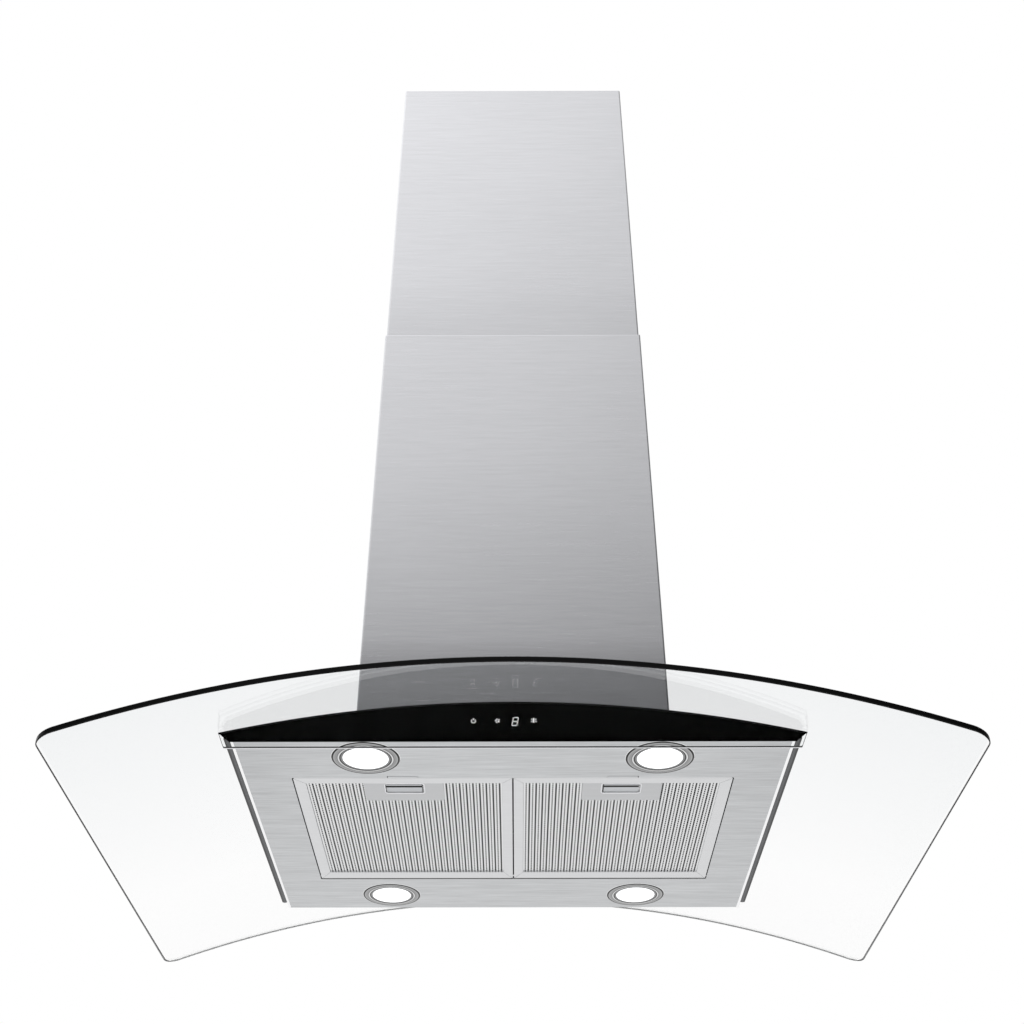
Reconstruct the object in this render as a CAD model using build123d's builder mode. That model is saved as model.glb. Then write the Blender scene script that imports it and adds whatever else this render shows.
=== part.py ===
from build123d import *

import os
from math import cos, pi, radians, sin, sqrt

# Curved glass island range hood, in millimetres. +Z is up and +Y points to the rear of the island.
# The origin is the middle of the ceiling plate's top face, and the whole hood hangs below it.

os.makedirs("parts", exist_ok=True)

# ---------------------------------------------------------------- driving dimensions: heights
upper_chimney_show = 536.0  # what the upper chimney section shows above the lower one
lower_chimney_height = 600.0  # crown of the glass to the lower section's top edge
height_travel = 300.0  # how far the hood can be raised on its telescopic posts
body_drop = 47.0  # crown of the glass to the bottom panel of the steel body

# ---------------------------------------------------------------- arched glass
glass_width = 898.0
glass_depth = 620.0
glass_thickness = 6.0
glass_radius = 1268.0  # top face of the arch, whose axis runs front to rear
glass_corner = 18.0
glass_edge_round = 1.2  # ground pencil edge
gasket_thickness = 1.5

# ---------------------------------------------------------------- chimney
chimney_width = 340.0  # lower section, outside
chimney_depth = 280.0
chimney_sheet = 1.0
chimney_bend = 2.2  # outside radius of the folded corners
chimney_gap = 0.8  # sliding room between the two sections
chimney_lap = 60.0  # how far the upper section reaches down inside the lower one
chimney_seam = 0.3  # between a front half and a rear half
chimney_foot_gap = 1.0  # lower section above the glass
chimney_corner = 1.6  # outer corners of what fits inside a section
cover_screw_radius = 2.0
cover_screw_head_radius = 4.0
cover_screw_head = 1.8
cover_screw_length = 6.0
cover_screw_y = 100.0
upper_screw_drop = 14.0  # below the ceiling
lower_screw_rise = 4.0  # above the crown of the glass

# ---------------------------------------------------------------- ceiling plate and posts
ceiling_plate_thickness = 3.0
ceiling_flange_sheet = 2.0
ceiling_flange_depth = 28.0
ceiling_gap = 1.0  # the chimney's top edge stays this far below the ceiling
duct_opening_width = 190.0
duct_opening_front = -100.0
duct_opening_rear = 128.0
duct_opening_corner = 20.0
anchor_spacing_x = 280.0
anchor_spacing_y = 120.0
anchor_hole_radius = 4.25
post_inset = 8.2  # upper posts inside the upper chimney, room for the screw heads
post_leg = 30.0
post_sheet = 2.5
post_gap = 0.5  # between a lower post and the upper post it slides in
post_end_gap = 6.0  # left at both ends of the travel
slot_inset = 17.0  # slot line from the post's outer corner
height_screw_radius = 3.0
height_screw_head_radius = 6.0
height_screw_head = 3.2
height_nut = 5.0
slot_clearance = 0.6
height_screw_rise = (26.0, 56.0)  # above the upper posts' lower ends
brace_height = 20.0
brace_sheet = 2.0
brace_rise = 20.0  # above the slots

# ---------------------------------------------------------------- deck on the glass
deck_rise = 14.0  # deck's top face above the crown of the glass
deck_sheet = 2.0
air_width = 230.0
air_depth = 170.0
air_corner = 8.0
bolt_x = 127.0
bolt_y = 97.0
bolt_radius = 3.0
bolt_head_radius = 5.0
bolt_head = 4.0
bolt_nut_radius = 5.77  # across corners
bolt_nut = 5.0
bolt_tail = 2.0
bolt_clearance = 0.3
bush_radius = 5.0
wedge_radius = 8.0
wedge_thickness = 1.5
boss_radius = 8.0

# ---------------------------------------------------------------- steel body under the glass
body_sheet = 1.2
body_width = 562.0
body_rear = 220.0
gasket_band = 10.0
filter_opening_width = 463.0
filter_opening_front = -142.5
filter_opening_rear = 128.5
filter_opening_corner = 1.5
rail_gap = 1.5
rail_width = 5.7
rail_rear = 204.0
rail_web_rise = 3.0
rail_web = 2.0

# ---------------------------------------------------------------- control glass and its electronics
panel_front = -233.0
panel_thickness = 4.0
panel_width = 587.0
panel_drop = 58.0  # crown of the glass to the control glass's lower edge
panel_top_gap = 1.0
panel_corner = 7.0
print_drop = 52.0  # black print's lower edge; below it the glass is clear
print_width = 565.0
foil_thickness = 0.4
window_width = 152.0
window_height = 26.0
window_drop = 29.4  # middle of the window below the crown
board_clearance = 0.5
board_thickness = 1.6
display_width = 22.0
display_height = 16.0
display_depth = 7.0
display_clearance = 0.2

# ---------------------------------------------------------------- grease filters
filter_gap = 1.5  # between the two filters
filter_width = 229.5
filter_front = -141.0
filter_rear = 127.0
filter_height = 9.0
frame_outer_band = 12.0
frame_inner_band = 10.5
frame_front_band = 11.5
frame_rear_band = 19.0
mitre_groove = 0.4
mesh_sink = 1.5  # mesh above the frame's lower face
mesh_thickness = 6.0
hinge_y = 123.5
hinge_rise = 3.0  # hinge rod above the bottom panel's lower face
rod_radius = 1.5
rod_clearance = 0.06
ear_sheet = 1.5
ear_gap = 2.2  # filter frame to ear
ear_width = 9.0
ear_height = 7.5
handle_width = 84.0
handle_depth = 42.0
handle_corner = 3.0
handle_thickness = 1.2
handle_edge = 1.5  # strip of the handle plate in front of the finger slot
finger_width = 41.0
finger_depth = 22.5
latch_travel = 6.0
latch_width = 38.0
latch_clearance = 0.3
latch_gap = 5.0  # finger room in front of the latch's pad
latch_length = 20.5
latch_height = 3.7
tongue_width = 30.0
tongue_thickness = 1.5
tongue_reach = 3.5  # past the frame's front face
strike_room = 1.0  # around the tongue in the panel's notch
pocket_depth = 39.5
spring_radius = 1.6
spring_wire = 0.25
spring_turns = 6
spring_x = 12.0

# ---------------------------------------------------------------- lamps
lamp_x = 150.0
lamp_front_y = -188.0
lamp_rear_y = 177.5
lamp_radius = 35.5
lamp_step_radius = 27.5
lamp_lens_show = 23.4
lamp_lens_radius = 25.0
lamp_lens_thickness = 2.5
lamp_proud = 2.5
lamp_step_proud = 1.8
lamp_lip = 1.0
lamp_can_radius = 28.0
lamp_collar_radius = 30.0
lamp_collar_height = 9.0
lamp_can_height = 17.0
lamp_hole_clearance = 0.3

# ---------------------------------------------------------------- blower
box_width = 296.0
box_depth = 236.0
box_height = 268.0
box_sheet = 1.0
box_flange = 8.0
wheel_y = -20.0
wheel_drop = 171.0  # wheel's axis below the motor box's top face
scroll_radius = 80.0
scroll_step = 8.0
scroll_wall = 2.5
scroll_half_width = 62.0
scroll_tongue = 12.0  # tongue behind the wheel's axis
inlet_radius = 65.0
wheel_radius = 72.0
wheel_inner_radius = 60.0
wheel_half_width = 55.0
wheel_disc = 2.0
wheel_hub_radius = 14.0
wheel_hub_half = 12.0
blade_count = 32
blade_chord = 10.5
blade_sheet = 1.0
blade_tilt = 32.0
shaft_radius = 4.0
shaft_clearance = 0.05
shaft_overhang = 1.0
shaft_reach = 26.0  # into the motor
motor_radius = 42.0
motor_gap = 4.0
motor_round = 4.0
bracket_sheet = 2.0
bracket_ring = 12.0
bracket_hub_radius = 30.0
bracket_arm = 14.0
outlet_width = 112.0
outlet_depth = 84.0

# ---------------------------------------------------------------- outlet collar and flaps
collar_radius = 74.5
collar_wall = 2.0
collar_height = 85.0
collar_flange_radius = 82.0
collar_flange = 2.0
flap_rise = 14.0  # flap pins above the collar's foot
flap_sheet = 1.0
flap_pin_radius = 1.5
flap_pin_clearance = 0.06
flap_pin_spacing = 6.0
flap_clearance = 1.5
ledge_width = 3.0
ledge_height = 1.5
ledge_gap = 0.4

# ---------------------------------------------------------------- electronics box
power_width = 170.0
power_front = -116.0
power_depth = 68.0
power_height = 46.0
power_wall = 2.0
power_lid = 2.0
terminal_size = (60.0, 22.0, 18.0)
gland_x = -40.0
gland_bore = 3.6
gland_thread_radius = 8.0
gland_hex_radius = 11.0
gland_hex = 6.0
gland_dome = 10.0
gland_tail = 8.0

# ---------------------------------------------------------------- places worked out from them
crown_z = -(upper_chimney_show + lower_chimney_height)
arch_centre_z = crown_z - glass_radius
glass_under_radius = glass_radius - glass_thickness
deck_seat_radius = glass_radius + gasket_thickness
skin_radius = glass_under_radius - gasket_thickness
skin_under_radius = skin_radius - body_sheet
plate_z = crown_z - body_drop
deck_top_z = crown_z + deck_rise
body_front = panel_front + panel_thickness + foil_thickness
body_depth = body_rear - body_front

lower_inner_width = chimney_width - 2 * chimney_sheet
lower_inner_depth = chimney_depth - 2 * chimney_sheet
upper_width = lower_inner_width - 2 * chimney_gap
upper_depth = lower_inner_depth - 2 * chimney_gap
upper_inner_width = upper_width - 2 * chimney_sheet
upper_inner_depth = upper_depth - 2 * chimney_sheet
split_z = crown_z + lower_chimney_height

post_x = upper_inner_width / 2 - post_inset
post_y = upper_inner_depth / 2 - post_inset
lower_post_x = post_x - post_sheet - post_gap
lower_post_y = post_y - post_sheet - post_gap
lower_post_leg = post_leg - post_sheet - post_gap
upper_post_foot_z = deck_top_z + height_travel + post_end_gap
lower_post_top_z = -ceiling_plate_thickness - height_travel - post_end_gap
slot_y = post_y - slot_inset
height_screw_z = [upper_post_foot_z + rise for rise in height_screw_rise]
slot_half_width = height_screw_radius + slot_clearance
slot_top_z = height_screw_z[-1] + height_travel + slot_half_width

bolt_places = [(x, y) for x in (-bolt_x, bolt_x) for y in (-bolt_y, bolt_y)]
box_top_z = deck_top_z + box_height
wheel_z = box_top_z - wheel_drop
scroll_rear_y = wheel_y + scroll_radius + 3 * scroll_step
outlet_y = (wheel_y + scroll_tongue + scroll_rear_y) / 2
collar_top_z = box_top_z + collar_height
flap_z = box_top_z + flap_rise


def save(piece, label):
    """Name a finished piece and write its file."""
    piece.part.label = label
    export_step(piece.part, f"parts/{label}.step")


def arch_z(radius, x):
    """Height of the arch of that radius at x from the middle of the hood."""
    return arch_centre_z + sqrt(radius**2 - x**2)


def arch_band(outer_radius, inner_radius, width, front_y, rear_y):
    """A piece of arched sheet between two radii about the arch's axis."""
    sheet_top = arch_centre_z + outer_radius
    sheet_foot = arch_z(inner_radius, width / 2)
    with BuildPart() as band:
        with BuildSketch(Plane.XZ.offset(-rear_y)):
            with Locations((0, arch_centre_z)):
                Circle(outer_radius)
                Circle(inner_radius, mode=Mode.SUBTRACT)
            with Locations((0, (sheet_top + sheet_foot) / 2)):
                Rectangle(width, sheet_top - sheet_foot, mode=Mode.INTERSECT)
        extrude(amount=rear_y - front_y)
    return band.part


def under_arch(radius, bottom_z, width, front_y, rear_y):
    """The space above a flat bottom and below the arch of that radius."""
    height = arch_centre_z + radius - bottom_z
    with BuildPart() as segment:
        with BuildSketch(Plane.XZ.offset(-rear_y)):
            with Locations((0, arch_centre_z)):
                Circle(radius)
            with Locations((0, bottom_z + height / 2)):
                Rectangle(width, height, mode=Mode.INTERSECT)
        extrude(amount=rear_y - front_y)
    return segment.part


def plan_slab(width, depth, corner, bottom_z, top_z, centre_y=0.0):
    """A flat slab with rounded corners in plan."""
    with BuildPart() as slab:
        with BuildSketch(Plane.XY.offset(bottom_z)):
            with Locations((0, centre_y)):
                RectangleRounded(width, depth, corner)
        extrude(amount=top_z - bottom_z)
    return slab.part


def bolt_columns(radius, bottom_z, top_z):
    """Four upright rounds at the glass bolts."""
    with BuildPart() as columns:
        with BuildSketch(Plane.XY.offset(bottom_z)):
            with Locations(*bolt_places):
                Circle(radius)
        extrude(amount=top_z - bottom_z)
    return columns.part


def cross_rounds(radius, places, from_x, to_x):
    """Round bars along X on both sides of the hood, from from_x to to_x off its middle."""
    with BuildPart() as rounds:
        for side in (-1, 1):
            with Locations(*[(side * (from_x + to_x) / 2, y, z) for y, z in places]):
                Cylinder(radius, to_x - from_x, rotation=(0, 90, 0))
    return rounds.part


# ================================================================ ceiling frame
# Ceiling plate: a shallow inverted tray that carries everything else.
upper_screw_places = [(y, -upper_screw_drop) for y in (-cover_screw_y, cover_screw_y)]

with BuildPart() as ceiling_plate:
    with BuildSketch():
        RectangleRounded(upper_inner_width, upper_inner_depth, chimney_corner)
    extrude(amount=-ceiling_flange_depth)
    with BuildSketch(Plane.XY.offset(-ceiling_plate_thickness)):
        Rectangle(
            upper_inner_width - 2 * ceiling_flange_sheet,
            upper_inner_depth - 2 * ceiling_flange_sheet,
        )
    extrude(amount=-ceiling_flange_depth, mode=Mode.SUBTRACT)
    with BuildSketch():
        with Locations((0, (duct_opening_front + duct_opening_rear) / 2)):
            RectangleRounded(
                duct_opening_width, duct_opening_rear - duct_opening_front, duct_opening_corner
            )
        with GridLocations(anchor_spacing_x, anchor_spacing_y, 2, 2):
            Circle(anchor_hole_radius)
    extrude(amount=-ceiling_plate_thickness, mode=Mode.SUBTRACT)
    add(
        cross_rounds(
            cover_screw_radius,
            upper_screw_places,
            upper_inner_width / 2 - 2 * ceiling_flange_sheet,
            upper_inner_width / 2 + ceiling_flange_sheet,
        ),
        mode=Mode.SUBTRACT,
    )
save(ceiling_plate, "ceiling_plate")


def corner_posts(half_x, half_y, leg, bottom_z, top_z):
    """Four L-angles with their outer corners at (half_x, half_y) and their legs along the faces."""
    with BuildPart() as posts:
        with BuildSketch(Plane.XY.offset(bottom_z)):
            Rectangle(2 * half_x, 2 * half_y)
            Rectangle(2 * (half_x - post_sheet), 2 * (half_y - post_sheet), mode=Mode.SUBTRACT)
            Rectangle(2 * half_x, 2 * (half_y - leg), mode=Mode.SUBTRACT)
            Rectangle(2 * (half_x - leg), 2 * half_y, mode=Mode.SUBTRACT)
        extrude(amount=top_z - bottom_z)
    return posts.part


# Upper posts hang from the ceiling plate. Long slots in their side legs set the height.
slot_middle_z = (height_screw_z[0] + slot_top_z - slot_half_width) / 2

with BuildPart() as upper_posts:
    add(corner_posts(post_x, post_y, post_leg, upper_post_foot_z, -ceiling_plate_thickness))
    with BuildSketch(Plane.YZ):
        with Locations((-slot_y, slot_middle_z), (slot_y, slot_middle_z)):
            SlotCenterToCenter(
                2 * (slot_middle_z - height_screw_z[0]), 2 * slot_half_width, rotation=90
            )
    extrude(amount=post_x + post_sheet, both=True, mode=Mode.SUBTRACT)
save(upper_posts, "upper_posts")

# Brace: one flat hoop round the upper posts, above their slots.
with BuildPart() as upper_brace:
    with BuildSketch(Plane.XY.offset(slot_top_z + brace_rise)):
        Rectangle(2 * (post_x + brace_sheet), 2 * (post_y + brace_sheet))
        Rectangle(2 * post_x, 2 * post_y, mode=Mode.SUBTRACT)
    extrude(amount=brace_height)
save(upper_brace, "upper_brace")

# Lower posts stand on the deck and slide inside the upper ones.
height_screw_places = [(y, z) for y in (-slot_y, slot_y) for z in height_screw_z]

with BuildPart() as lower_posts:
    add(corner_posts(lower_post_x, lower_post_y, lower_post_leg, deck_top_z, lower_post_top_z))
    add(
        cross_rounds(
            height_screw_radius,
            height_screw_places,
            lower_post_x - 2 * post_sheet,
            lower_post_x + post_sheet,
        ),
        mode=Mode.SUBTRACT,
    )
save(lower_posts, "lower_posts")

# Height screws: head outside the upper post, nut inside the lower one.
head_x = post_x + post_gap
nut_x = lower_post_x - post_sheet

with BuildPart() as height_screws:
    add(cross_rounds(height_screw_radius, height_screw_places, nut_x - height_nut, head_x))
    add(
        cross_rounds(
            height_screw_head_radius, height_screw_places, head_x, head_x + height_screw_head
        )
    )
    add(
        cross_rounds(
            height_screw_head_radius - slot_clearance,
            height_screw_places,
            nut_x - height_nut,
            nut_x,
        )
    )
save(height_screws, "height_screws")


# ================================================================ chimney
def chimney_half(width, depth, bottom_z, top_z, side):
    """A U-shaped half of a section: one face and two returns. side is -1 in front, 1 at the rear."""
    with BuildPart() as half:
        with BuildSketch(Plane.XY.offset(bottom_z)):
            RectangleRounded(width, depth, chimney_bend)
            RectangleRounded(
                width - 2 * chimney_sheet,
                depth - 2 * chimney_sheet,
                chimney_bend - chimney_sheet,
                mode=Mode.SUBTRACT,
            )
            with Locations((0, side * (chimney_seam + depth) / 2)):
                Rectangle(width, depth, mode=Mode.INTERSECT)
        extrude(amount=top_z - bottom_z)
    return half.part


upper_foot_z = split_z - chimney_lap
lower_foot_z = arch_z(glass_radius, chimney_width / 2) - chimney_sheet
lower_screw_z = crown_z + lower_screw_rise
lower_screw_places = [(y, lower_screw_z) for y in (-cover_screw_y, cover_screw_y)]

for side, half_name in ((-1, "front"), (1, "rear")):
    with BuildPart() as upper_half:
        add(chimney_half(upper_width, upper_depth, upper_foot_z, -ceiling_gap, side))
        add(
            cross_rounds(
                cover_screw_radius,
                upper_screw_places,
                upper_inner_width / 2 - chimney_sheet,
                upper_width / 2 + chimney_sheet,
            ),
            mode=Mode.SUBTRACT,
        )
    save(upper_half, f"upper_chimney_{half_name}")

    with BuildPart() as lower_half:
        add(chimney_half(chimney_width, chimney_depth, lower_foot_z, split_z, side))
        add(
            under_arch(
                glass_radius + chimney_foot_gap,
                lower_foot_z - glass_thickness,
                2 * chimney_width,
                -chimney_depth,
                chimney_depth,
            ),
            mode=Mode.SUBTRACT,
        )
        add(
            cross_rounds(
                cover_screw_radius,
                lower_screw_places,
                lower_inner_width / 2 - chimney_sheet,
                chimney_width / 2 + chimney_sheet,
            ),
            mode=Mode.SUBTRACT,
        )
    save(lower_half, f"lower_chimney_{half_name}")

# Cover screws: pan heads on the chimney's sides, shanks into the ceiling plate and into the deck.
for screw_name, face_x, places in (
    ("upper_cover_screws", upper_width / 2, upper_screw_places),
    ("lower_cover_screws", chimney_width / 2, lower_screw_places),
):
    with BuildPart() as cover_screws:
        add(cross_rounds(cover_screw_radius, places, face_x - cover_screw_length, face_x))
        add(cross_rounds(cover_screw_head_radius, places, face_x, face_x + cover_screw_head))
        head_rims = cover_screws.edges().filter_by(GeomType.CIRCLE).group_by(SortBy.RADIUS)[-1]
        outer_rims = [rim for rim in head_rims if abs(rim.center().X) > face_x + cover_screw_head / 2]
        fillet(outer_rims, cover_screw_head / 2)
    save(cover_screws, screw_name)


# ================================================================ glass and what clamps it
# The arched sheet is made larger all round, and the outline then cuts it to size.
sheet_width = 1.1 * glass_width

with BuildPart() as glass_canopy:
    add(arch_band(glass_radius, glass_under_radius, sheet_width, -glass_depth, glass_depth))
    glass_foot_z = arch_z(glass_under_radius, glass_width / 2) - glass_thickness
    glass_over_z = crown_z + glass_thickness
    add(
        plan_slab(glass_width, glass_depth, glass_corner, glass_foot_z, glass_over_z),
        mode=Mode.INTERSECT,
    )
    add(
        plan_slab(air_width, air_depth, air_corner, glass_foot_z, glass_over_z),
        mode=Mode.SUBTRACT,
    )
    add(bolt_columns(bush_radius, glass_foot_z, glass_over_z), mode=Mode.SUBTRACT)
    wide_faces = glass_canopy.faces().sort_by(SortBy.AREA)[-2:]
    rim_edges = [edge for face in wide_faces for edge in face.outer_wire().edges()]
    fillet(rim_edges, glass_edge_round)
save(glass_canopy, "glass_canopy")

# Mounting deck: a shallow inverted box whose walls and bolt bosses follow the arch.
deck_foot_z = arch_z(deck_seat_radius, lower_inner_width / 2)

with BuildPart() as mounting_deck:
    with BuildSketch(Plane.XY.offset(deck_foot_z)):
        RectangleRounded(lower_inner_width, lower_inner_depth, chimney_corner)
    extrude(amount=deck_top_z - deck_foot_z)
    with BuildSketch(Plane.XY.offset(deck_foot_z)):
        Rectangle(lower_inner_width - 2 * deck_sheet, lower_inner_depth - 2 * deck_sheet)
    extrude(amount=deck_top_z - deck_sheet - deck_foot_z, mode=Mode.SUBTRACT)
    add(bolt_columns(boss_radius, deck_foot_z, deck_top_z))
    add(
        plan_slab(air_width, air_depth, air_corner, deck_foot_z, deck_top_z),
        mode=Mode.SUBTRACT,
    )
    add(
        bolt_columns(bolt_radius + bolt_clearance, deck_foot_z, deck_top_z),
        mode=Mode.SUBTRACT,
    )
    add(
        under_arch(
            deck_seat_radius,
            deck_foot_z - glass_thickness,
            2 * lower_inner_width,
            -lower_inner_depth,
            lower_inner_depth,
        ),
        mode=Mode.SUBTRACT,
    )
    add(
        cross_rounds(
            cover_screw_radius,
            lower_screw_places,
            lower_inner_width / 2 - 2 * deck_sheet,
            lower_inner_width / 2 + deck_sheet,
        ),
        mode=Mode.SUBTRACT,
    )
save(mounting_deck, "mounting_deck")


def clamp_sheet(outer_radius, inner_radius):
    """Arched sheet the size of the deck, with the air opening and the bolt holes."""
    with BuildPart() as sheet:
        add(
            arch_band(
                outer_radius,
                inner_radius,
                lower_inner_width,
                -lower_inner_depth / 2,
                lower_inner_depth / 2,
            )
        )
        foot = arch_z(inner_radius, lower_inner_width / 2)
        top = arch_centre_z + outer_radius
        add(
            plan_slab(lower_inner_width, lower_inner_depth, chimney_corner, foot, top),
            mode=Mode.INTERSECT,
        )
        add(plan_slab(air_width, air_depth, air_corner, foot, top), mode=Mode.SUBTRACT)
        add(bolt_columns(bolt_radius + bolt_clearance, foot, top), mode=Mode.SUBTRACT)
    return sheet.part


# Gasket between the deck and the glass.
with BuildPart() as upper_gasket:
    add(clamp_sheet(deck_seat_radius, glass_radius))
save(upper_gasket, "upper_gasket")

# Gasket between the glass and the body: a pad round the air opening and a rim along the walls.
with BuildPart() as lower_gasket:
    add(clamp_sheet(glass_under_radius, skin_radius))
    with BuildPart(mode=Mode.PRIVATE) as rim_gasket:
        add(arch_band(glass_under_radius, skin_radius, body_width, body_front, body_rear))
        with BuildSketch(Plane.XY.offset(plate_z)):
            with Locations((0, (body_front + body_rear) / 2)):
                Rectangle(body_width - 2 * gasket_band, body_depth - 2 * gasket_band)
        extrude(amount=body_drop, mode=Mode.SUBTRACT)
    add(rim_gasket.part)
save(lower_gasket, "lower_gasket")

# Bushes: nylon sleeves that keep the bolts off the glass.
with BuildPart() as glass_bushes:
    add(bolt_columns(bush_radius, plate_z, crown_z))
    add(bolt_columns(bolt_radius + bolt_clearance, plate_z, crown_z), mode=Mode.SUBTRACT)
    add(
        arch_band(glass_radius, glass_under_radius, sheet_width, -glass_depth, glass_depth),
        mode=Mode.INTERSECT,
    )
save(glass_bushes, "glass_bushes")

# Wedge washers: arched on top, flat below, so the nuts sit square on the bolts.
wedge_foot_z = arch_z(skin_under_radius, bolt_x + wedge_radius) - wedge_thickness

with BuildPart() as wedge_washers:
    add(bolt_columns(wedge_radius, wedge_foot_z, crown_z))
    add(bolt_columns(bolt_radius + bolt_clearance, wedge_foot_z, crown_z), mode=Mode.SUBTRACT)
    add(
        under_arch(skin_under_radius, wedge_foot_z, body_width, body_front, body_rear),
        mode=Mode.INTERSECT,
    )
save(wedge_washers, "wedge_washers")

# Glass bolts with their nuts: they clamp deck, glass and body together.
with BuildPart() as glass_bolts:
    add(bolt_columns(bolt_radius, wedge_foot_z - bolt_nut - bolt_tail, deck_top_z))
    add(bolt_columns(bolt_head_radius, deck_top_z, deck_top_z + bolt_head))
    with BuildSketch(Plane.XY.offset(wedge_foot_z - bolt_nut)):
        with Locations(*bolt_places):
            RegularPolygon(bolt_nut_radius, 6)
    extrude(amount=bolt_nut)
    with BuildSketch(Plane.XY.offset(deck_top_z + bolt_head)):
        with Locations(*bolt_places):
            RegularPolygon(bolt_radius, 6)
    extrude(amount=-bolt_head / 2, mode=Mode.SUBTRACT)
save(glass_bolts, "glass_bolts")


# ================================================================ steel body under the glass
with BuildPart() as body_top:
    add(arch_band(skin_radius, skin_under_radius, body_width, body_front, body_rear))
    add(plan_slab(air_width, air_depth, air_corner, plate_z, crown_z), mode=Mode.SUBTRACT)
    add(bolt_columns(bolt_radius + bolt_clearance, plate_z, crown_z), mode=Mode.SUBTRACT)
save(body_top, "body_top")

filter_x = (filter_gap + filter_width) / 2
filter_foot_z = plate_z
hinge_z = plate_z + hinge_rise
lamp_places = [
    (side_x * lamp_x, y) for y in (lamp_front_y, lamp_rear_y) for side_x in (-1, 1)
]
window_z = crown_z - window_drop
tongue_tip_y = filter_front - tongue_reach
ear_x = filter_gap / 2 + filter_width + ear_gap
notch_y = (tongue_tip_y - strike_room + filter_opening_front) / 2

with BuildPart() as body_pan:
    add(under_arch(skin_under_radius, plate_z, body_width, body_front, body_rear))
    add(
        under_arch(
            glass_radius,
            plate_z + body_sheet,
            body_width - 2 * body_sheet,
            body_front + body_sheet,
            body_rear - body_sheet,
        ),
        mode=Mode.SUBTRACT,
    )
    # Opening for the filters, its two latch notches and the lamp holes.
    with BuildSketch(Plane.XY.offset(plate_z)):
        with Locations((0, (filter_opening_front + filter_opening_rear) / 2)):
            RectangleRounded(
                filter_opening_width,
                filter_opening_rear - filter_opening_front,
                filter_opening_corner,
            )
        with Locations((-filter_x, notch_y), (filter_x, notch_y)):
            Rectangle(
                tongue_width + 2 * strike_room,
                filter_opening_front - tongue_tip_y + strike_room + filter_opening_corner,
            )
        with Locations(*lamp_places):
            Circle(lamp_collar_radius + lamp_hole_clearance)
    extrude(amount=body_sheet, mode=Mode.SUBTRACT)
    # Window behind the touch fields.
    with BuildSketch(Plane.XZ.offset(-body_front)):
        with Locations((0, window_z)):
            Rectangle(window_width, window_height)
    extrude(amount=-body_sheet, mode=Mode.SUBTRACT)
    # Ears that hold the ends of the filters' hinge rod.
    for side in (-1, 1):
        with Locations(
            (side * (ear_x + ear_sheet / 2), hinge_y, plate_z + body_sheet + ear_height / 2)
        ):
            Box(ear_sheet, ear_width, ear_height)
    add(
        cross_rounds(rod_radius, [(hinge_y, hinge_z)], ear_x - ear_sheet, ear_x + 2 * ear_sheet),
        mode=Mode.SUBTRACT,
    )
save(body_pan, "body_pan")

with BuildPart() as filter_hinge_rod:
    with Locations((0, hinge_y, hinge_z)):
        Cylinder(rod_radius, 2 * (ear_x + ear_sheet), rotation=(0, 90, 0))
save(filter_hinge_rod, "filter_hinge_rod")

# Side rails: dark strips between the bottom panel's edges and the glass, round at their rear ends.
rail_inner_x = body_width / 2 + rail_gap

for side, side_name in ((-1, "left"), (1, "right")):
    with BuildPart() as side_rail:
        with BuildSketch(Plane.XY.offset(plate_z)):
            with Locations((side * (rail_inner_x + rail_width / 2), body_front)):
                Rectangle(
                    rail_width,
                    rail_rear - rail_width / 2 - body_front,
                    align=(Align.CENTER, Align.MIN),
                )
            with Locations(
                (side * (rail_inner_x + rail_width / 2), rail_rear - rail_width / 2)
            ):
                Circle(rail_width / 2)
        extrude(amount=body_drop)
        with BuildSketch(Plane.XY.offset(plate_z + rail_web_rise)):
            with Locations((side * body_width / 2, body_front)):
                Rectangle(
                    rail_gap + rail_width / 2,
                    rail_rear - rail_width - body_front,
                    align=(Align.MIN if side > 0 else Align.MAX, Align.MIN),
                )
        extrude(amount=rail_web)
        add(
            under_arch(glass_under_radius, plate_z, glass_width, body_front, body_rear),
            mode=Mode.INTERSECT,
        )
    save(side_rail, f"side_rail_{side_name}")


# ================================================================ control glass and its electronics
with BuildPart() as control_glass:
    add(
        under_arch(
            glass_under_radius - panel_top_gap,
            crown_z - panel_drop,
            panel_width,
            panel_front,
            panel_front + panel_thickness,
        )
    )
    lower_corners = control_glass.edges().filter_by(Axis.Y).group_by(Axis.Z)[0]
    fillet(lower_corners, panel_corner)
save(control_glass, "control_glass")

with BuildPart() as touch_foil:
    add(
        under_arch(
            glass_under_radius - panel_top_gap,
            crown_z - print_drop,
            print_width,
            panel_front + panel_thickness,
            body_front,
        )
    )
save(touch_foil, "touch_foil")

with BuildPart() as touch_board:
    with BuildSketch(Plane.XZ.offset(-body_front)):
        with Locations((0, window_z)):
            Rectangle(window_width - 2 * board_clearance, window_height - 2 * board_clearance)
            Rectangle(
                display_width + 2 * display_clearance,
                display_height + 2 * display_clearance,
                mode=Mode.SUBTRACT,
            )
    extrude(amount=-board_thickness)
save(touch_board, "touch_board")

with BuildPart() as display_module:
    with BuildSketch(Plane.XZ.offset(-body_front)):
        with Locations((0, window_z)):
            Rectangle(display_width, display_height)
    extrude(amount=-display_depth)
save(display_module, "display_module")


# ================================================================ grease filters
frame_foot_z = filter_foot_z
mesh_foot_z = frame_foot_z + mesh_sink
mesh_front = filter_front + frame_front_band
mesh_rear = filter_rear - frame_rear_band
pad_front = mesh_front + handle_edge + latch_gap
pad_rear = pad_front + latch_length
pocket_rear = mesh_front + pocket_depth
latch_foot_z = mesh_foot_z + latch_clearance
tongue_foot_z = latch_foot_z + latch_height - tongue_thickness

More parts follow.
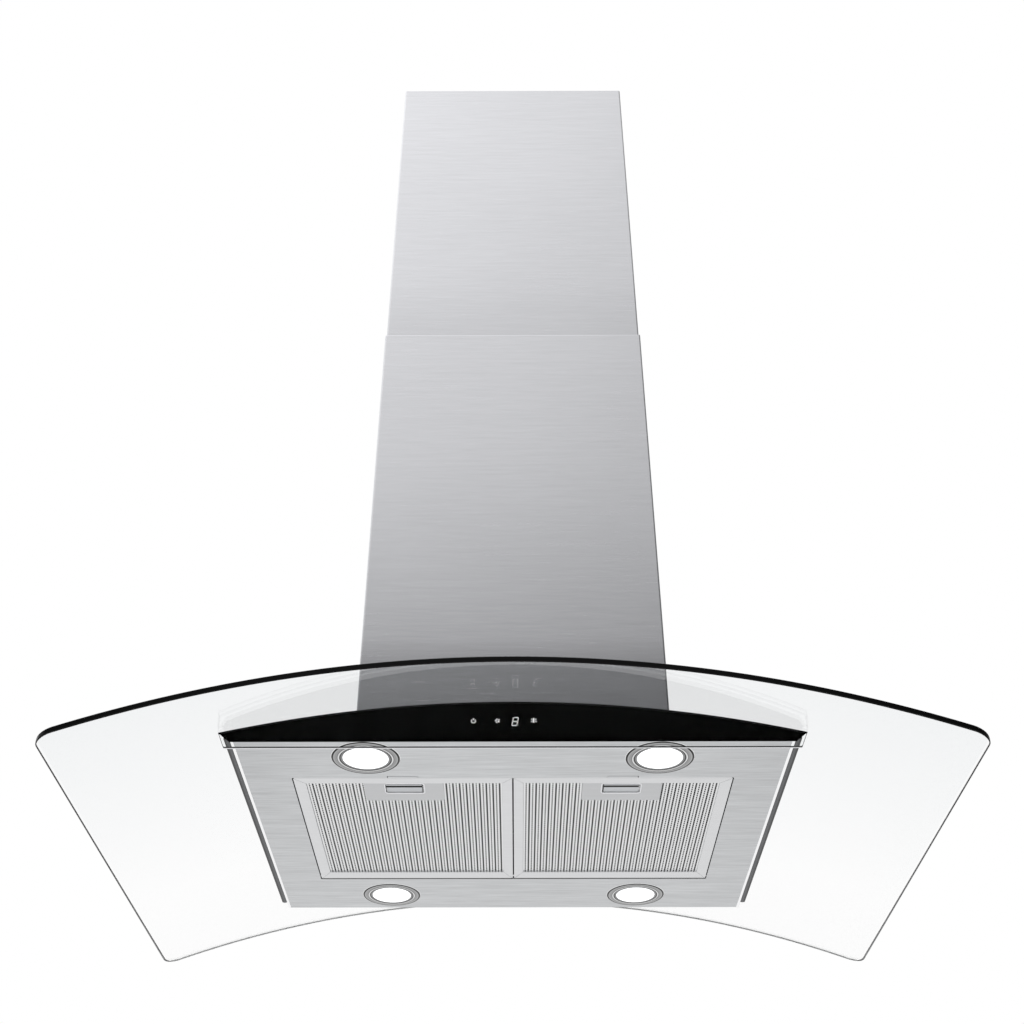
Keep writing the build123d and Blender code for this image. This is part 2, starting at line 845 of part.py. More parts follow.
for side, side_name in ((-1, "left"), (1, "right")):
    inner_edge = side * filter_gap / 2
    outer_edge = side * (filter_gap / 2 + filter_width)
    mesh_inner = inner_edge + side * frame_inner_band
    mesh_outer = outer_edge - side * frame_outer_band
    mesh_x = (mesh_inner + mesh_outer) / 2
    mesh_width = abs(mesh_outer - mesh_inner)
    latch_x = side * filter_x

    # Frame: mitred aluminium channel, bored along its rear bar for the hinge rod.
    with BuildPart() as filter_frame:
        with BuildSketch(Plane.XY.offset(frame_foot_z)):
            with Locations((latch_x, (filter_front + filter_rear) / 2)):
                Rectangle(filter_width, filter_rear - filter_front)
            with Locations((mesh_x, (mesh_front + mesh_rear) / 2)):
                Rectangle(mesh_width, mesh_rear - mesh_front, mode=Mode.SUBTRACT)
        extrude(amount=filter_height)
        with BuildSketch(Plane.XY.offset(frame_foot_z)):
            for groove_x, inner_x in ((inner_edge, mesh_inner), (outer_edge, mesh_outer)):
                for groove_y, inner_y in ((filter_front, mesh_front), (filter_rear, mesh_rear)):
                    run = Vector(inner_x - groove_x, inner_y - groove_y)
                    with BuildLine():
                        groove = Line(
                            Vector(groove_x, groove_y) - run / 4,
                            Vector(inner_x, inner_y) + run / 4,
                        )
                    trace(lines=groove, line_width=mitre_groove)
        extrude(amount=mitre_groove, mode=Mode.SUBTRACT)
        with Locations((latch_x, hinge_y, hinge_z)):
            Cylinder(
                rod_radius + rod_clearance,
                filter_width,
                rotation=(0, 90, 0),
                mode=Mode.SUBTRACT,
            )
        with Locations(
            (latch_x, filter_front + frame_front_band / 2, tongue_foot_z + tongue_thickness / 2)
        ):
            Box(
                tongue_width + 2 * latch_clearance,
                frame_front_band,
                tongue_thickness + 2 * latch_clearance,
                mode=Mode.SUBTRACT,
            )
    save(filter_frame, f"filter_frame_{side_name}")

    # Mesh pack, cut away where the latch and its springs work.
    with BuildPart() as filter_mesh:
        with BuildSketch(Plane.XY.offset(mesh_foot_z)):
            with Locations((mesh_x, (mesh_front + mesh_rear) / 2)):
                Rectangle(mesh_width, mesh_rear - mesh_front)
            with Locations((latch_x, mesh_front)):
                Rectangle(
                    latch_width + 2 * latch_clearance,
                    pocket_depth,
                    align=(Align.CENTER, Align.MIN),
                    mode=Mode.SUBTRACT,
                )
        extrude(amount=mesh_thickness)
    save(filter_mesh, f"filter_mesh_{side_name}")

    # Handle plate with its finger slot, over the latch pocket.
    with BuildPart() as filter_handle:
        with BuildSketch(Plane.XY.offset(mesh_foot_z - handle_thickness)):
            with Locations((latch_x, mesh_front + handle_depth / 2)):
                RectangleRounded(handle_width, handle_depth, handle_corner)
            with Locations((latch_x, mesh_front + handle_edge + finger_depth / 2)):
                RectangleRounded(finger_width, finger_depth, handle_corner, mode=Mode.SUBTRACT)
        extrude(amount=handle_thickness)
    save(filter_handle, f"filter_handle_{side_name}")

    # Latch: finger pad with a tongue that reaches out through the frame's front bar.
    with BuildPart() as filter_latch:
        with BuildSketch(Plane.XY.offset(latch_foot_z)):
            with Locations((latch_x, pad_front)):
                Rectangle(latch_width, latch_length, align=(Align.CENTER, Align.MIN))
        extrude(amount=latch_height)
        with BuildSketch(Plane.XY.offset(tongue_foot_z)):
            with Locations((latch_x, tongue_tip_y)):
                Rectangle(
                    tongue_width,
                    pad_front + latch_gap - tongue_tip_y,
                    align=(Align.CENTER, Align.MIN),
                )
        extrude(amount=tongue_thickness)
        pad_edge = filter_latch.edges().filter_by(Axis.X).group_by(Axis.Z)[0].sort_by(Axis.Y)[0]
        chamfer(pad_edge, latch_clearance * 2)
    save(filter_latch, f"filter_latch_{side_name}")

    # A pair of small coil springs behind the pad.
    coil_height = pocket_rear - pad_rear - 2 * spring_wire
    coil_z = latch_foot_z + latch_height / 2
    with BuildPart() as latch_spring:
        for offset_x in (-spring_x, spring_x):
            with BuildLine() as coil:
                Helix(
                    coil_height / spring_turns,
                    coil_height,
                    spring_radius,
                    center=(latch_x + offset_x, pad_rear + spring_wire, coil_z),
                    direction=(0, 1, 0),
                )
            with BuildSketch(Plane(origin=coil.line @ 0, z_dir=coil.line % 0)):
                Circle(spring_wire)
            sweep(path=coil.line)
    save(latch_spring, f"latch_spring_{side_name}")


# ================================================================ lamps
lamp_names = ("front_left", "front_right", "rear_left", "rear_right")

for (x, y), lamp_name in zip(lamp_places, lamp_names):
    # Bezel: an outer flange, a stepped inner ring and a collar up through the panel.
    with BuildPart() as lamp_bezel:
        with BuildSketch(Plane.XZ):
            with BuildLine():
                Polyline(
                    (lamp_lens_show, -lamp_step_proud),
                    (lamp_step_radius, -lamp_step_proud),
                    (lamp_step_radius + lamp_lip, -lamp_proud),
                    (lamp_radius - lamp_lip, -lamp_proud),
                    (lamp_radius, -lamp_proud / 2),
                    (lamp_radius, 0),
                    (lamp_collar_radius, 0),
                    (lamp_collar_radius, lamp_collar_height),
                    (lamp_can_radius, lamp_collar_height),
                    (lamp_can_radius, lamp_lens_thickness - lamp_step_proud + lamp_lip),
                    (lamp_lens_radius, lamp_lens_thickness - lamp_step_proud + lamp_lip),
                    (lamp_lens_radius, lamp_lip - lamp_step_proud),
                    (lamp_lens_show, lamp_lip - lamp_step_proud),
                    close=True,
                )
            make_face()
        revolve(axis=Axis.Z)
    lamp_bezel.part = lamp_bezel.part.moved(Location((x, y, plate_z)))
    save(lamp_bezel, f"lamp_bezel_{lamp_name}")

    with BuildPart() as lamp_lens:
        with BuildSketch(Plane.XY.offset(plate_z - lamp_step_proud + lamp_lip)):
            with Locations((x, y)):
                Circle(lamp_lens_radius)
        extrude(amount=lamp_lens_thickness)
    save(lamp_lens, f"lamp_lens_{lamp_name}")

# Lamp cans behind the lenses.
with BuildPart() as lamp_cans:
    with BuildSketch(Plane.XY.offset(plate_z - lamp_step_proud + lamp_lip + lamp_lens_thickness)):
        with Locations(*lamp_places):
            Circle(lamp_can_radius)
    extrude(amount=lamp_can_height)
    can_tops = lamp_cans.edges().filter_by(GeomType.CIRCLE).group_by(Axis.Z)[-1]
    fillet(can_tops, lamp_proud)
save(lamp_cans, "lamp_cans")


# ================================================================ blower
# Motor box: draws from the body through the glass and stands on the deck.
with BuildPart() as motor_box:
    with BuildSketch(Plane.XY.offset(deck_top_z)):
        Rectangle(box_width, box_depth)
    extrude(amount=box_height)
    with BuildSketch(Plane.XY.offset(deck_top_z + box_sheet)):
        Rectangle(box_width - 2 * box_sheet, box_depth - 2 * box_sheet)
    extrude(amount=box_height - 2 * box_sheet, mode=Mode.SUBTRACT)
    with BuildSketch(Plane.XY.offset(deck_top_z)):
        Rectangle(box_width - 2 * box_flange, box_depth - 2 * box_flange)
    extrude(amount=box_sheet, mode=Mode.SUBTRACT)
    with BuildSketch(Plane.XY.offset(box_top_z)):
        with Locations((0, outlet_y)):
            Rectangle(outlet_width, outlet_depth)
    extrude(amount=-box_sheet, mode=Mode.SUBTRACT)
save(motor_box, "motor_box")


def volute(inset, top_z, start_x, length):
    """The scroll's side profile, inset from its outer wall: three arcs that grow, then the outlet."""
    start_radius = scroll_radius - inset
    tongue_y = wheel_y + scroll_tongue + inset
    with BuildPart() as scroll:
        with BuildSketch(Plane.YZ.offset(start_x)):
            with BuildLine():
                first = CenterArc((wheel_y, wheel_z), start_radius, 90, 90)
                CenterArc((wheel_y + scroll_step, wheel_z), start_radius + scroll_step, 180, 90)
                last = CenterArc(
                    (wheel_y + scroll_step, wheel_z + scroll_step),
                    start_radius + 2 * scroll_step,
                    270,
                    90,
                )
                Polyline(
                    last @ 1,
                    (scroll_rear_y - inset, top_z),
                    (tongue_y, top_z),
                    (tongue_y, wheel_z + start_radius),
                    first @ 0,
                )
            make_face()
        extrude(amount=length)
    return scroll.part


scroll_top_z = box_top_z - box_sheet

for side, side_name in ((-1, "left"), (1, "right")):
    outer_x = min(side * scroll_half_width, 0)
    inner_x = min(side * (scroll_half_width - scroll_wall), 0)
    with BuildPart() as scroll_half:
        add(volute(0, scroll_top_z, outer_x, scroll_half_width))
        add(
            volute(scroll_wall, box_top_z, inner_x, scroll_half_width - scroll_wall),
            mode=Mode.SUBTRACT,
        )
        with Locations((side * scroll_half_width, wheel_y, wheel_z)):
            Cylinder(inlet_radius, 4 * scroll_wall, rotation=(0, 90, 0), mode=Mode.SUBTRACT)
    save(scroll_half, f"scroll_half_{side_name}")

# Wheel: double inlet, two rings of blades on one middle disc.
with BuildPart() as blower_wheel:
    with BuildSketch(Plane.YZ.offset(-wheel_half_width)):
        with Locations((wheel_y, wheel_z)):
            with PolarLocations((wheel_radius + wheel_inner_radius) / 2, blade_count):
                Rectangle(blade_chord, blade_sheet, rotation=blade_tilt)
    extrude(amount=2 * wheel_half_width)
    for ring_x in (-wheel_half_width, wheel_half_width - wheel_disc):
        with BuildSketch(Plane.YZ.offset(ring_x)):
            with Locations((wheel_y, wheel_z)):
                Circle(wheel_radius)
                Circle(wheel_inner_radius, mode=Mode.SUBTRACT)
        extrude(amount=wheel_disc)
    with BuildSketch(Plane.YZ.offset(-wheel_disc / 2)):
        with Locations((wheel_y, wheel_z)):
            Circle(wheel_radius)
    extrude(amount=wheel_disc)
    with Locations((0, wheel_y, wheel_z)):
        Cylinder(wheel_hub_radius, 2 * wheel_hub_half, rotation=(0, 90, 0))
        Cylinder(shaft_radius, 3 * wheel_hub_half, rotation=(0, 90, 0), mode=Mode.SUBTRACT)
save(blower_wheel, "blower_wheel")

motor_x = wheel_hub_half + motor_gap
shaft_start = -wheel_hub_half - shaft_overhang
shaft_length = motor_x + shaft_reach - shaft_start

with BuildPart() as blower_shaft:
    with Locations((shaft_start + shaft_length / 2, wheel_y, wheel_z)):
        Cylinder(shaft_radius, shaft_length, rotation=(0, 90, 0))
save(blower_shaft, "blower_shaft")

with BuildPart() as blower_motor:
    with BuildSketch(Plane.YZ.offset(motor_x)):
        with Locations((wheel_y, wheel_z)):
            Circle(motor_radius)
    extrude(amount=scroll_half_width - motor_x)
    fillet(blower_motor.edges().filter_by(GeomType.CIRCLE).sort_by(Axis.X)[0], motor_round)
    with BuildSketch(Plane.YZ.offset(motor_x)):
        with Locations((wheel_y, wheel_z)):
            Circle(shaft_radius + shaft_clearance)
    extrude(amount=shaft_reach + motor_gap, mode=Mode.SUBTRACT)
save(blower_motor, "blower_motor")

# Motor bracket: a ring on the right half's inlet, three arms and a plate for the motor.
with BuildPart() as motor_bracket:
    with BuildSketch(Plane.YZ.offset(scroll_half_width)):
        with Locations((wheel_y, wheel_z)):
            Circle(inlet_radius + bracket_ring)
            Circle(inlet_radius, mode=Mode.SUBTRACT)
            Circle(bracket_hub_radius)
            with PolarLocations(bracket_hub_radius / 2, 3):
                Rectangle(inlet_radius, bracket_arm, align=(Align.MIN, Align.CENTER))
    extrude(amount=bracket_sheet)
save(motor_bracket, "motor_bracket")


# ================================================================ outlet collar and its flaps
flap_pin_places = [
    (outlet_y + side * flap_pin_spacing / 2, flap_z) for side in (-1, 1)
]

with BuildPart() as outlet_collar:
    with BuildSketch(Plane.XY.offset(box_top_z)):
        with Locations((0, outlet_y)):
            Circle(collar_flange_radius)
    extrude(amount=collar_flange)
    with BuildSketch(Plane.XY.offset(box_top_z)):
        with Locations((0, outlet_y)):
            Circle(collar_radius)
    extrude(amount=collar_height)
    with BuildSketch(Plane.XY.offset(box_top_z)):
        with Locations((0, outlet_y)):
            Circle(collar_radius - collar_wall)
    extrude(amount=collar_height, mode=Mode.SUBTRACT)
    with BuildSketch(Plane.XY.offset(flap_z - flap_pin_radius - ledge_gap - ledge_height)):
        with Locations((0, outlet_y)):
            Circle(collar_radius - collar_wall)
            Circle(collar_radius - collar_wall - ledge_width, mode=Mode.SUBTRACT)
    extrude(amount=ledge_height)
    with Locations(*[(0, y, z) for y, z in flap_pin_places]):
        Cylinder(
            flap_pin_radius + flap_pin_clearance,
            2 * collar_radius,
            rotation=(0, 90, 0),
            mode=Mode.SUBTRACT,
        )
save(outlet_collar, "outlet_collar")

flap_radius = collar_radius - collar_wall - flap_clearance
flap_pin_length = 2 * sqrt(collar_radius**2 - flap_pin_spacing**2)

for side, flap_name in ((-1, "front"), (1, "rear")):
    pin_y = outlet_y + side * flap_pin_spacing / 2
    with BuildPart() as outlet_flap:
        with BuildSketch(Plane.XY.offset(flap_z - flap_sheet / 2)):
            with Locations((0, outlet_y)):
                Circle(flap_radius)
            with Locations((0, pin_y)):
                Rectangle(
                    2 * flap_radius,
                    flap_radius,
                    align=(Align.CENTER, Align.MIN if side > 0 else Align.MAX),
                    mode=Mode.INTERSECT,
                )
        extrude(amount=flap_sheet)
        with Locations((0, pin_y, flap_z)):
            Cylinder(flap_pin_radius, flap_pin_length, rotation=(0, 90, 0))
    save(outlet_flap, f"outlet_flap_{flap_name}")


# ================================================================ electronics box
power_y = power_front + power_depth / 2
power_top_z = box_top_z + power_height

with BuildPart() as power_box:
    with BuildSketch(Plane.XY.offset(box_top_z)):
        with Locations((0, power_y)):
            Rectangle(power_width, power_depth)
    extrude(amount=power_height)
    with BuildSketch(Plane.XY.offset(box_top_z + power_wall)):
        with Locations((0, power_y)):
            Rectangle(power_width - 2 * power_wall, power_depth - 2 * power_wall)
    extrude(amount=power_height, mode=Mode.SUBTRACT)
save(power_box, "power_box")

with BuildPart() as power_box_lid:
    with BuildSketch(Plane.XY.offset(power_top_z)):
        with Locations((0, power_y)):
            Rectangle(power_width, power_depth)
        with Locations((gland_x, power_y)):
            Circle(gland_thread_radius, mode=Mode.SUBTRACT)
    extrude(amount=power_lid)
save(power_box_lid, "power_box_lid")

# Cable gland for the supply cord, screwed through the lid.
with BuildPart() as cable_gland:
    with BuildSketch(Plane.XY.offset(power_top_z - gland_tail)):
        with Locations((gland_x, power_y)):
            Circle(gland_thread_radius)
    extrude(amount=gland_tail + power_lid)
    with BuildSketch(Plane.XY.offset(power_top_z + power_lid)):
        with Locations((gland_x, power_y)):
            RegularPolygon(gland_hex_radius, 6)
    extrude(amount=gland_hex)
    with BuildSketch(Plane.XY.offset(power_top_z + power_lid + gland_hex)):
        with Locations((gland_x, power_y)):
            Circle(gland_thread_radius)
    extrude(amount=gland_dome)
    dome_rim = cable_gland.edges().filter_by(GeomType.CIRCLE).group_by(Axis.Z)[-1]
    fillet(dome_rim, gland_thread_radius / 3)
    with BuildSketch(Plane.XY.offset(power_top_z - gland_tail)):
        with Locations((gland_x, power_y)):
            Circle(gland_bore)
    extrude(amount=gland_tail + power_lid + gland_hex + gland_dome, mode=Mode.SUBTRACT)
save(cable_gland, "cable_gland")

inside_z = box_top_z + power_wall
terminal_x = power_width / 2 - power_wall - terminal_size[0] / 2

with BuildPart() as terminal_block:
    with Locations((terminal_x, power_y, inside_z)):
        Box(*terminal_size, align=(Align.CENTER, Align.CENTER, Align.MIN))
    pole_pitch = terminal_size[0] / 6
    with BuildSketch(Plane.XY.offset(inside_z + terminal_size[2])):
        with Locations((terminal_x, power_y)):
            with GridLocations(pole_pitch, terminal_size[1] / 2, 5, 2):
                Circle(pole_pitch / 4)
    extrude(amount=-pole_pitch, mode=Mode.SUBTRACT)
save(terminal_block, "terminal_block")
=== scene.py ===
# %% [markdown]
# # An island hood with an arched glass, dressed for its picture
#
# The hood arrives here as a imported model: sixty solid pieces, each in its right place, in metres.
# This lesson gives them their looks. It sets up the camera and a plain white studio, writes the
# effects that several finishes share, paints every piece, and then builds what is too fine for the
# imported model: the ground edges of the glass, the turned rings of the lamps, the woven face of the
# filters and the lit touch symbols. Read it from the top, because each value and each helper is
# made just before it is first used.

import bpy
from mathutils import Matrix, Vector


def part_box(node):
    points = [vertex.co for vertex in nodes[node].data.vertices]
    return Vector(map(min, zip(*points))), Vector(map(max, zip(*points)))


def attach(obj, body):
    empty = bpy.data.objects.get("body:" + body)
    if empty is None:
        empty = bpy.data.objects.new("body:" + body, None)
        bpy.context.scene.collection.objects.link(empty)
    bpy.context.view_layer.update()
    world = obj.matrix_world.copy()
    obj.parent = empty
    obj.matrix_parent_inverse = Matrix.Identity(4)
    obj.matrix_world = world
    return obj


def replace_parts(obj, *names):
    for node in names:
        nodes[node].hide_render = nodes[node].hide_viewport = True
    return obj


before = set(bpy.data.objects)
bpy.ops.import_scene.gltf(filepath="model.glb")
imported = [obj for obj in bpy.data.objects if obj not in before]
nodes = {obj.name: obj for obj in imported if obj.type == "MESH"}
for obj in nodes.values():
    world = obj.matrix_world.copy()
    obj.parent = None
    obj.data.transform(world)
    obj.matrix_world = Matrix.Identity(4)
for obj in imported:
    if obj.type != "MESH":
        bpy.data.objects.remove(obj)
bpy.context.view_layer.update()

import math

import bmesh
import bpy
from mathutils import Vector

scene = bpy.context.scene

# %% Places that many steps need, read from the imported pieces
MM = 0.001
glass_low, glass_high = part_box("glass_canopy")
pan_low, pan_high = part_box("body_pan")
crown_z = glass_high.z
plate_z = pan_low.z
split_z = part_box("lower_chimney_front")[1].z
print("crown of the glass:", round(crown_z, 3), "bottom panel:", round(plate_z, 3))

# %% [markdown]
# ## The camera
#
# The picture was taken from below and in front of the hood, looking up at the underside of the
# glass. Lines that are upright on the real chimney lean together towards the top of the picture,
# and how fast they do so tells both how far away the camera stood and how steeply it looked up.
# A shifted lens could keep them upright, but the picture doesn't, so the camera is simply tilted.
# The lens is worked out from its focal length in pixels, because a picture gives that directly.

# %% Camera below the front edge, tilted up
picture_width = 1024
focal_pixels = 1367.6
camera_place = (0.0032, -1.4504, -1.8258)
tilt_up = math.radians(37.17)
turn_left = math.radians(0.18)

camera_data = bpy.data.cameras.new("picture_camera")
camera_data.sensor_width = 36.0
camera_data.lens = camera_data.sensor_width * focal_pixels / picture_width
camera = bpy.data.objects.new("picture_camera", camera_data)
camera.location = camera_place
camera.rotation_euler = (math.pi / 2 + tilt_up, 0.0, turn_left)
scene.collection.objects.link(camera)
scene.camera = camera
print("lens:", round(camera_data.lens, 2), "mm")

# %% [markdown]
# ## Wiring helpers
#
# Shader trees are wired with a handful of small nodes again and again: a sum, a noise, a ramp of
# grey levels, a factor that goes from one level to another. The first helper adds a node and fills
# its inputs. A short one for each kind of node then keeps the trees readable as recipes.


# %% Helpers for node trees
def added(tree, kind, inputs, **settings):
    """A new node. Each of its inputs is a plain value or another node's output."""
    node = tree.nodes.new(kind)
    for setting, value in settings.items():
        setattr(node, setting, value)
    for socket, value in inputs.items():
        if isinstance(value, bpy.types.NodeSocket):
            tree.links.new(value, node.inputs[socket])
        elif value is not None:
            node.inputs[socket].default_value = value
    return node


def maths(tree, operation, first, second=None, third=None):
    """The result of one Math node."""
    inputs = {0: first, 1: second, 2: third}
    return added(tree, "ShaderNodeMath", inputs, operation=operation).outputs[0]


def noise(tree, vector, scale, detail=2.0, roughness=0.5):
    """A noise texture of that scale along a vector."""
    inputs = {"Vector": vector, "Scale": scale, "Detail": detail, "Roughness": roughness}
    return added(tree, "ShaderNodeTexNoise", inputs).outputs["Fac"]


def graded(tree, value, stops):
    """Grey levels over a value that runs from -1 to 1."""
    share = maths(tree, "MULTIPLY_ADD", value, 0.5, 0.5)
    ramp = added(tree, "ShaderNodeValToRGB", {"Fac": share})
    elements = ramp.color_ramp.elements
    elements[0].position = 0.5 + 0.5 * stops[0][0]
    elements[1].position = 0.5 + 0.5 * stops[-1][0]
    for place, _ in stops[1:-1]:
        elements.new(0.5 + 0.5 * place)
    for element, (_, level) in zip(elements, stops):
        element.color = (level, level, level, 1.0)
    return ramp.outputs["Color"]


def step_between(tree, value, start, end, before, after):
    """A factor that goes from one level to another while a value goes from start to end."""
    inputs = {"Value": value, "From Min": start, "From Max": end, "To Min": before, "To Max": after}
    return added(tree, "ShaderNodeMapRange", inputs).outputs["Result"]


def blended(tree, factor, first, second):
    """A mix of two colours."""
    inputs = {"Factor": factor, "A": first, "B": second}
    return added(tree, "ShaderNodeMix", inputs, data_type="RGBA").outputs["Result"]


def either(tree, factor, first, second):
    """A mix of two shaders."""
    return added(tree, "ShaderNodeMixShader", {0: factor, 1: first, 2: second}).outputs[0]


def scaled(tree, vector, factor):
    """A colour made lighter or darker by a factor, or a place moved out by it."""
    inputs = {0: vector, "Scale": factor}
    return added(tree, "ShaderNodeVectorMath", inputs, operation="SCALE").outputs["Vector"]


def split_axes(tree, vector):
    """The X, Y and Z outputs of a vector."""
    return added(tree, "ShaderNodeSeparateXYZ", {0: vector}).outputs


def piece_place(tree):
    """Where a point of a piece is, in metres. It moves with the piece."""
    return tree.nodes.new("ShaderNodeTexCoord").outputs["Object"]


def piece_axes(tree):
    """The same place along X, Y and Z."""
    return split_axes(tree, piece_place(tree))


def rgb(red, green, blue):
    """A colour with full alpha."""
    return (red, green, blue, 1.0)


def new_finish(name, values):
    """A material with one Principled shader, and plain values on the shader's own sockets."""
    material = bpy.data.materials.new(name)
    material.use_nodes = True
    shader = material.node_tree.nodes["Principled BSDF"]
    for socket, value in values.items():
        shader.inputs[socket].default_value = value
    return material, material.node_tree, shader


# %% [markdown]
# ## The studio
#
# The hood hangs in front of plain white. Steel and glass have hardly any colour of their own: they
# show what surrounds them, so the surroundings are part of the finish. A single white world would
# make the steel look like grey card. Here the world is white to the camera and through the glass.
# What the metal mirrors is graded instead: in front of the hood it is dark low down and grows
# brighter overhead, as under a large soft lamp on a ceiling, and it is brighter on the left than
# on the right. That is what puts the long fade on the chimney and the dark line on its right bend.
# A ray that was mirrored once keeps to the graded world even if it then goes through the glass, so
# the panel under the front of the canopy stays black.

# %% World: white to look at, graded in reflections, calm as light
scene.view_settings.view_transform = "Standard"

world = bpy.data.worlds.new("studio")
scene.world = world
world.use_nodes = True
sky = world.node_tree
sky.nodes.clear()

across, ahead, up = split_axes(sky, sky.nodes.new("ShaderNodeTexCoord").outputs["Generated"])
mirror_strength, ambient_strength = 1.1, 0.75
left_to_right = -1.07
dimmest, brightest = 0.25, 1.37
front_levels = [
    (-1.0, 0.73), (0.0, 0.50), (0.12, 0.16), (0.20, 0.12), (0.46, 0.12), (0.53, 0.44),
    (0.60, 0.70), (0.70, 0.71), (0.757, 0.80), (0.80, 0.89), (0.87, 0.97), (1.0, 1.0),
]
other_levels = [(-1.0, 0.73), (0.0, 0.56), (0.40, 0.45), (0.70, 0.68), (1.0, 0.91)]
towards_front = step_between(sky, ahead, -0.5, -0.2, 1.0, 0.0)
elsewhere, in_front = graded(sky, up, other_levels), graded(sky, up, front_levels)
surroundings = blended(sky, towards_front, elsewhere, in_front)
leaning = maths(sky, "MULTIPLY_ADD", across, left_to_right, 1.0)
leaning = maths(sky, "MAXIMUM", maths(sky, "MINIMUM", leaning, brightest), dimmest)


def backdrop(colour, strength):
    """A Background shader of the world."""
    return added(sky, "ShaderNodeBackground", {"Color": colour, "Strength": strength}).outputs[0]


ray = sky.nodes.new("ShaderNodeLightPath").outputs
mirrored = backdrop(scaled(sky, surroundings, leaning), mirror_strength)
ambient = backdrop(rgb(0.97, 0.98, 1.0), ambient_strength)
plain_white = backdrop(rgb(1.0, 1.0, 1.0), 1.0)
in_mirror = maths(sky, "MINIMUM", ray["Glossy Depth"], 1.0)
bounced = maths(sky, "MINIMUM", maths(sky, "ADD", in_mirror, ray["Diffuse Depth"]), 1.0)
straight = maths(sky, "MULTIPLY", ray["Is Transmission Ray"], maths(sky, "SUBTRACT", 1.0, bounced))
seen = maths(sky, "MAXIMUM", ray["Is Camera Ray"], straight)
light_or_mirror = either(sky, in_mirror, ambient, mirrored)
surface = either(sky, seen, light_or_mirror, plain_white)
added(sky, "ShaderNodeOutputWorld", {"Surface": surface})
print("world nodes:", len(sky.nodes))

# %% [markdown]
# Three soft lamps model the matt pieces. A wide one hangs high in front and to the left, where the
# picture is brightest, a weaker one fills the right, and a low one lifts the underside. Area lamps
# are used because their size sets how soft a shadow is. They are hidden from mirror reflections,
# where their square outlines would show, so the metal is left to the graded world.


# %% Soft lamps
def soft_lamp(name, place, aim, size, watts):
    """A square area lamp at place, facing aim."""
    lamp_data = bpy.data.lights.new(name, "AREA")
    lamp_data.size = size
    lamp_data.energy = watts
    lamp = bpy.data.objects.new(name, lamp_data)
    lamp.location = place
    lamp.rotation_euler = (Vector(aim) - Vector(place)).to_track_quat("-Z", "Y").to_euler()
    lamp.visible_glossy = False
    scene.collection.objects.link(lamp)


soft_lamp("key_lamp", (-1.9, -2.6, 0.9), (0.0, 0.0, -0.8), 1.8, 34.0)
soft_lamp("fill_lamp", (2.6, -2.0, -0.4), (0.0, 0.0, -0.9), 2.2, 12.0)
soft_lamp("low_lamp", (0.3, -1.6, -2.6), (0.0, 0.0, -1.2), 1.6, 10.0)

# %% [markdown]
# The floor lies well under the hood, as a kitchen's does. The camera looks up and never sees it in
# the picture, but the steel and the glass mirror it, and it shows in views from the side. Its
# paint is pale. To the camera and in mirrors most of it is replaced by plain white, and the rest
# keeps the hood's soft shadow.

# %% Pale floor
floor_z = -2.8
floor_reach = 9.0
white_share = 0.8

floor_mesh = bpy.data.meshes.new("floor")
floor_corners = [
    (x * floor_reach, y * floor_reach, floor_z) for x, y in ((-1, -1), (1, -1), (1, 1), (-1, 1))
]
floor_mesh.from_pydata(floor_corners, [], [(0, 1, 2, 3)])
floor = bpy.data.objects.new("floor", floor_mesh)
scene.collection.objects.link(floor)

floor_paint, tree, matt = new_finish(
    "pale_floor", {"Base Color": rgb(0.88, 0.88, 0.88), "Roughness": 0.9, "Specular IOR Level": 0.1}
)
ray = tree.nodes.new("ShaderNodeLightPath").outputs
looked_at = maths(tree, "MAXIMUM", ray["Is Camera Ray"], ray["Is Transmission Ray"])
looked_at = maths(tree, "MAXIMUM", looked_at, ray["Is Glossy Ray"])
whitened = maths(tree, "MULTIPLY", looked_at, white_share)
white = tree.nodes.new("ShaderNodeEmission")
surface = either(tree, whitened, matt.outputs[0], white.outputs[0])
tree.links.new(surface, tree.nodes["Material Output"].inputs["Surface"])
floor_mesh.materials.append(floor_paint)
print("floor at", floor_z, "m")

# %% [markdown]
# ## Effects that several finishes share
#
# Brushed sheet, moulded plastic and zinc coating each turn up on many pieces. An effect of that
# kind is written once as a node group with named inputs, like a small tool with its own dials, and
# each finish places a copy and sets the dials. A group gives out only what changes over the
# surface: a colour, a roughness or a height. The shader itself stays in the material, where its
# plain numbers can be read and changed at a glance.

# %% Helpers for groups
GREY = (0.6, 0.6, 0.6, 1.0)


def effect_group(name, dials):
    """An empty node group with its dials, and what the dials give inside it."""
    group = bpy.data.node_groups.new(name, "ShaderNodeTree")
    for label, value in dials.items():
        kind = "NodeSocketFloat"
        if isinstance(value, tuple):
            kind = "NodeSocketColor" if len(value) == 4 else "NodeSocketVector"
        dial = group.interface.new_socket(name=label, in_out="INPUT", socket_type=kind)
        dial.default_value = value
    return group, group.nodes.new("NodeGroupInput").outputs


def give_out(group, dial, lighter, rougher, height=None):
    """Vary the colour and the roughness, each by (pattern, amount), and wire the results out."""
    factor = maths(group, "MULTIPLY_ADD", *lighter, 1.0)
    results = {
        "Colour": scaled(group, dial["Colour"], factor),
        "Roughness": maths(group, "MULTIPLY_ADD", *rougher, dial["Roughness"]),
    }
    if height is not None:
        results["Height"] = height
    for label in results:
        kind = "NodeSocketColor" if label == "Colour" else "NodeSocketFloat"
        group.interface.new_socket(name=label, in_out="OUTPUT", socket_type=kind)
    added(group, "NodeGroupOutput", results)
    print(group.name, "has", len(group.nodes), "nodes")


def stretched(tree, factors):
    """The place on a piece with a factor for each axis, so that a pattern is squeezed by it."""
    inputs = {0: piece_place(tree), 1: factors}
    return added(tree, "ShaderNodeVectorMath", inputs, operation="MULTIPLY").outputs[0]


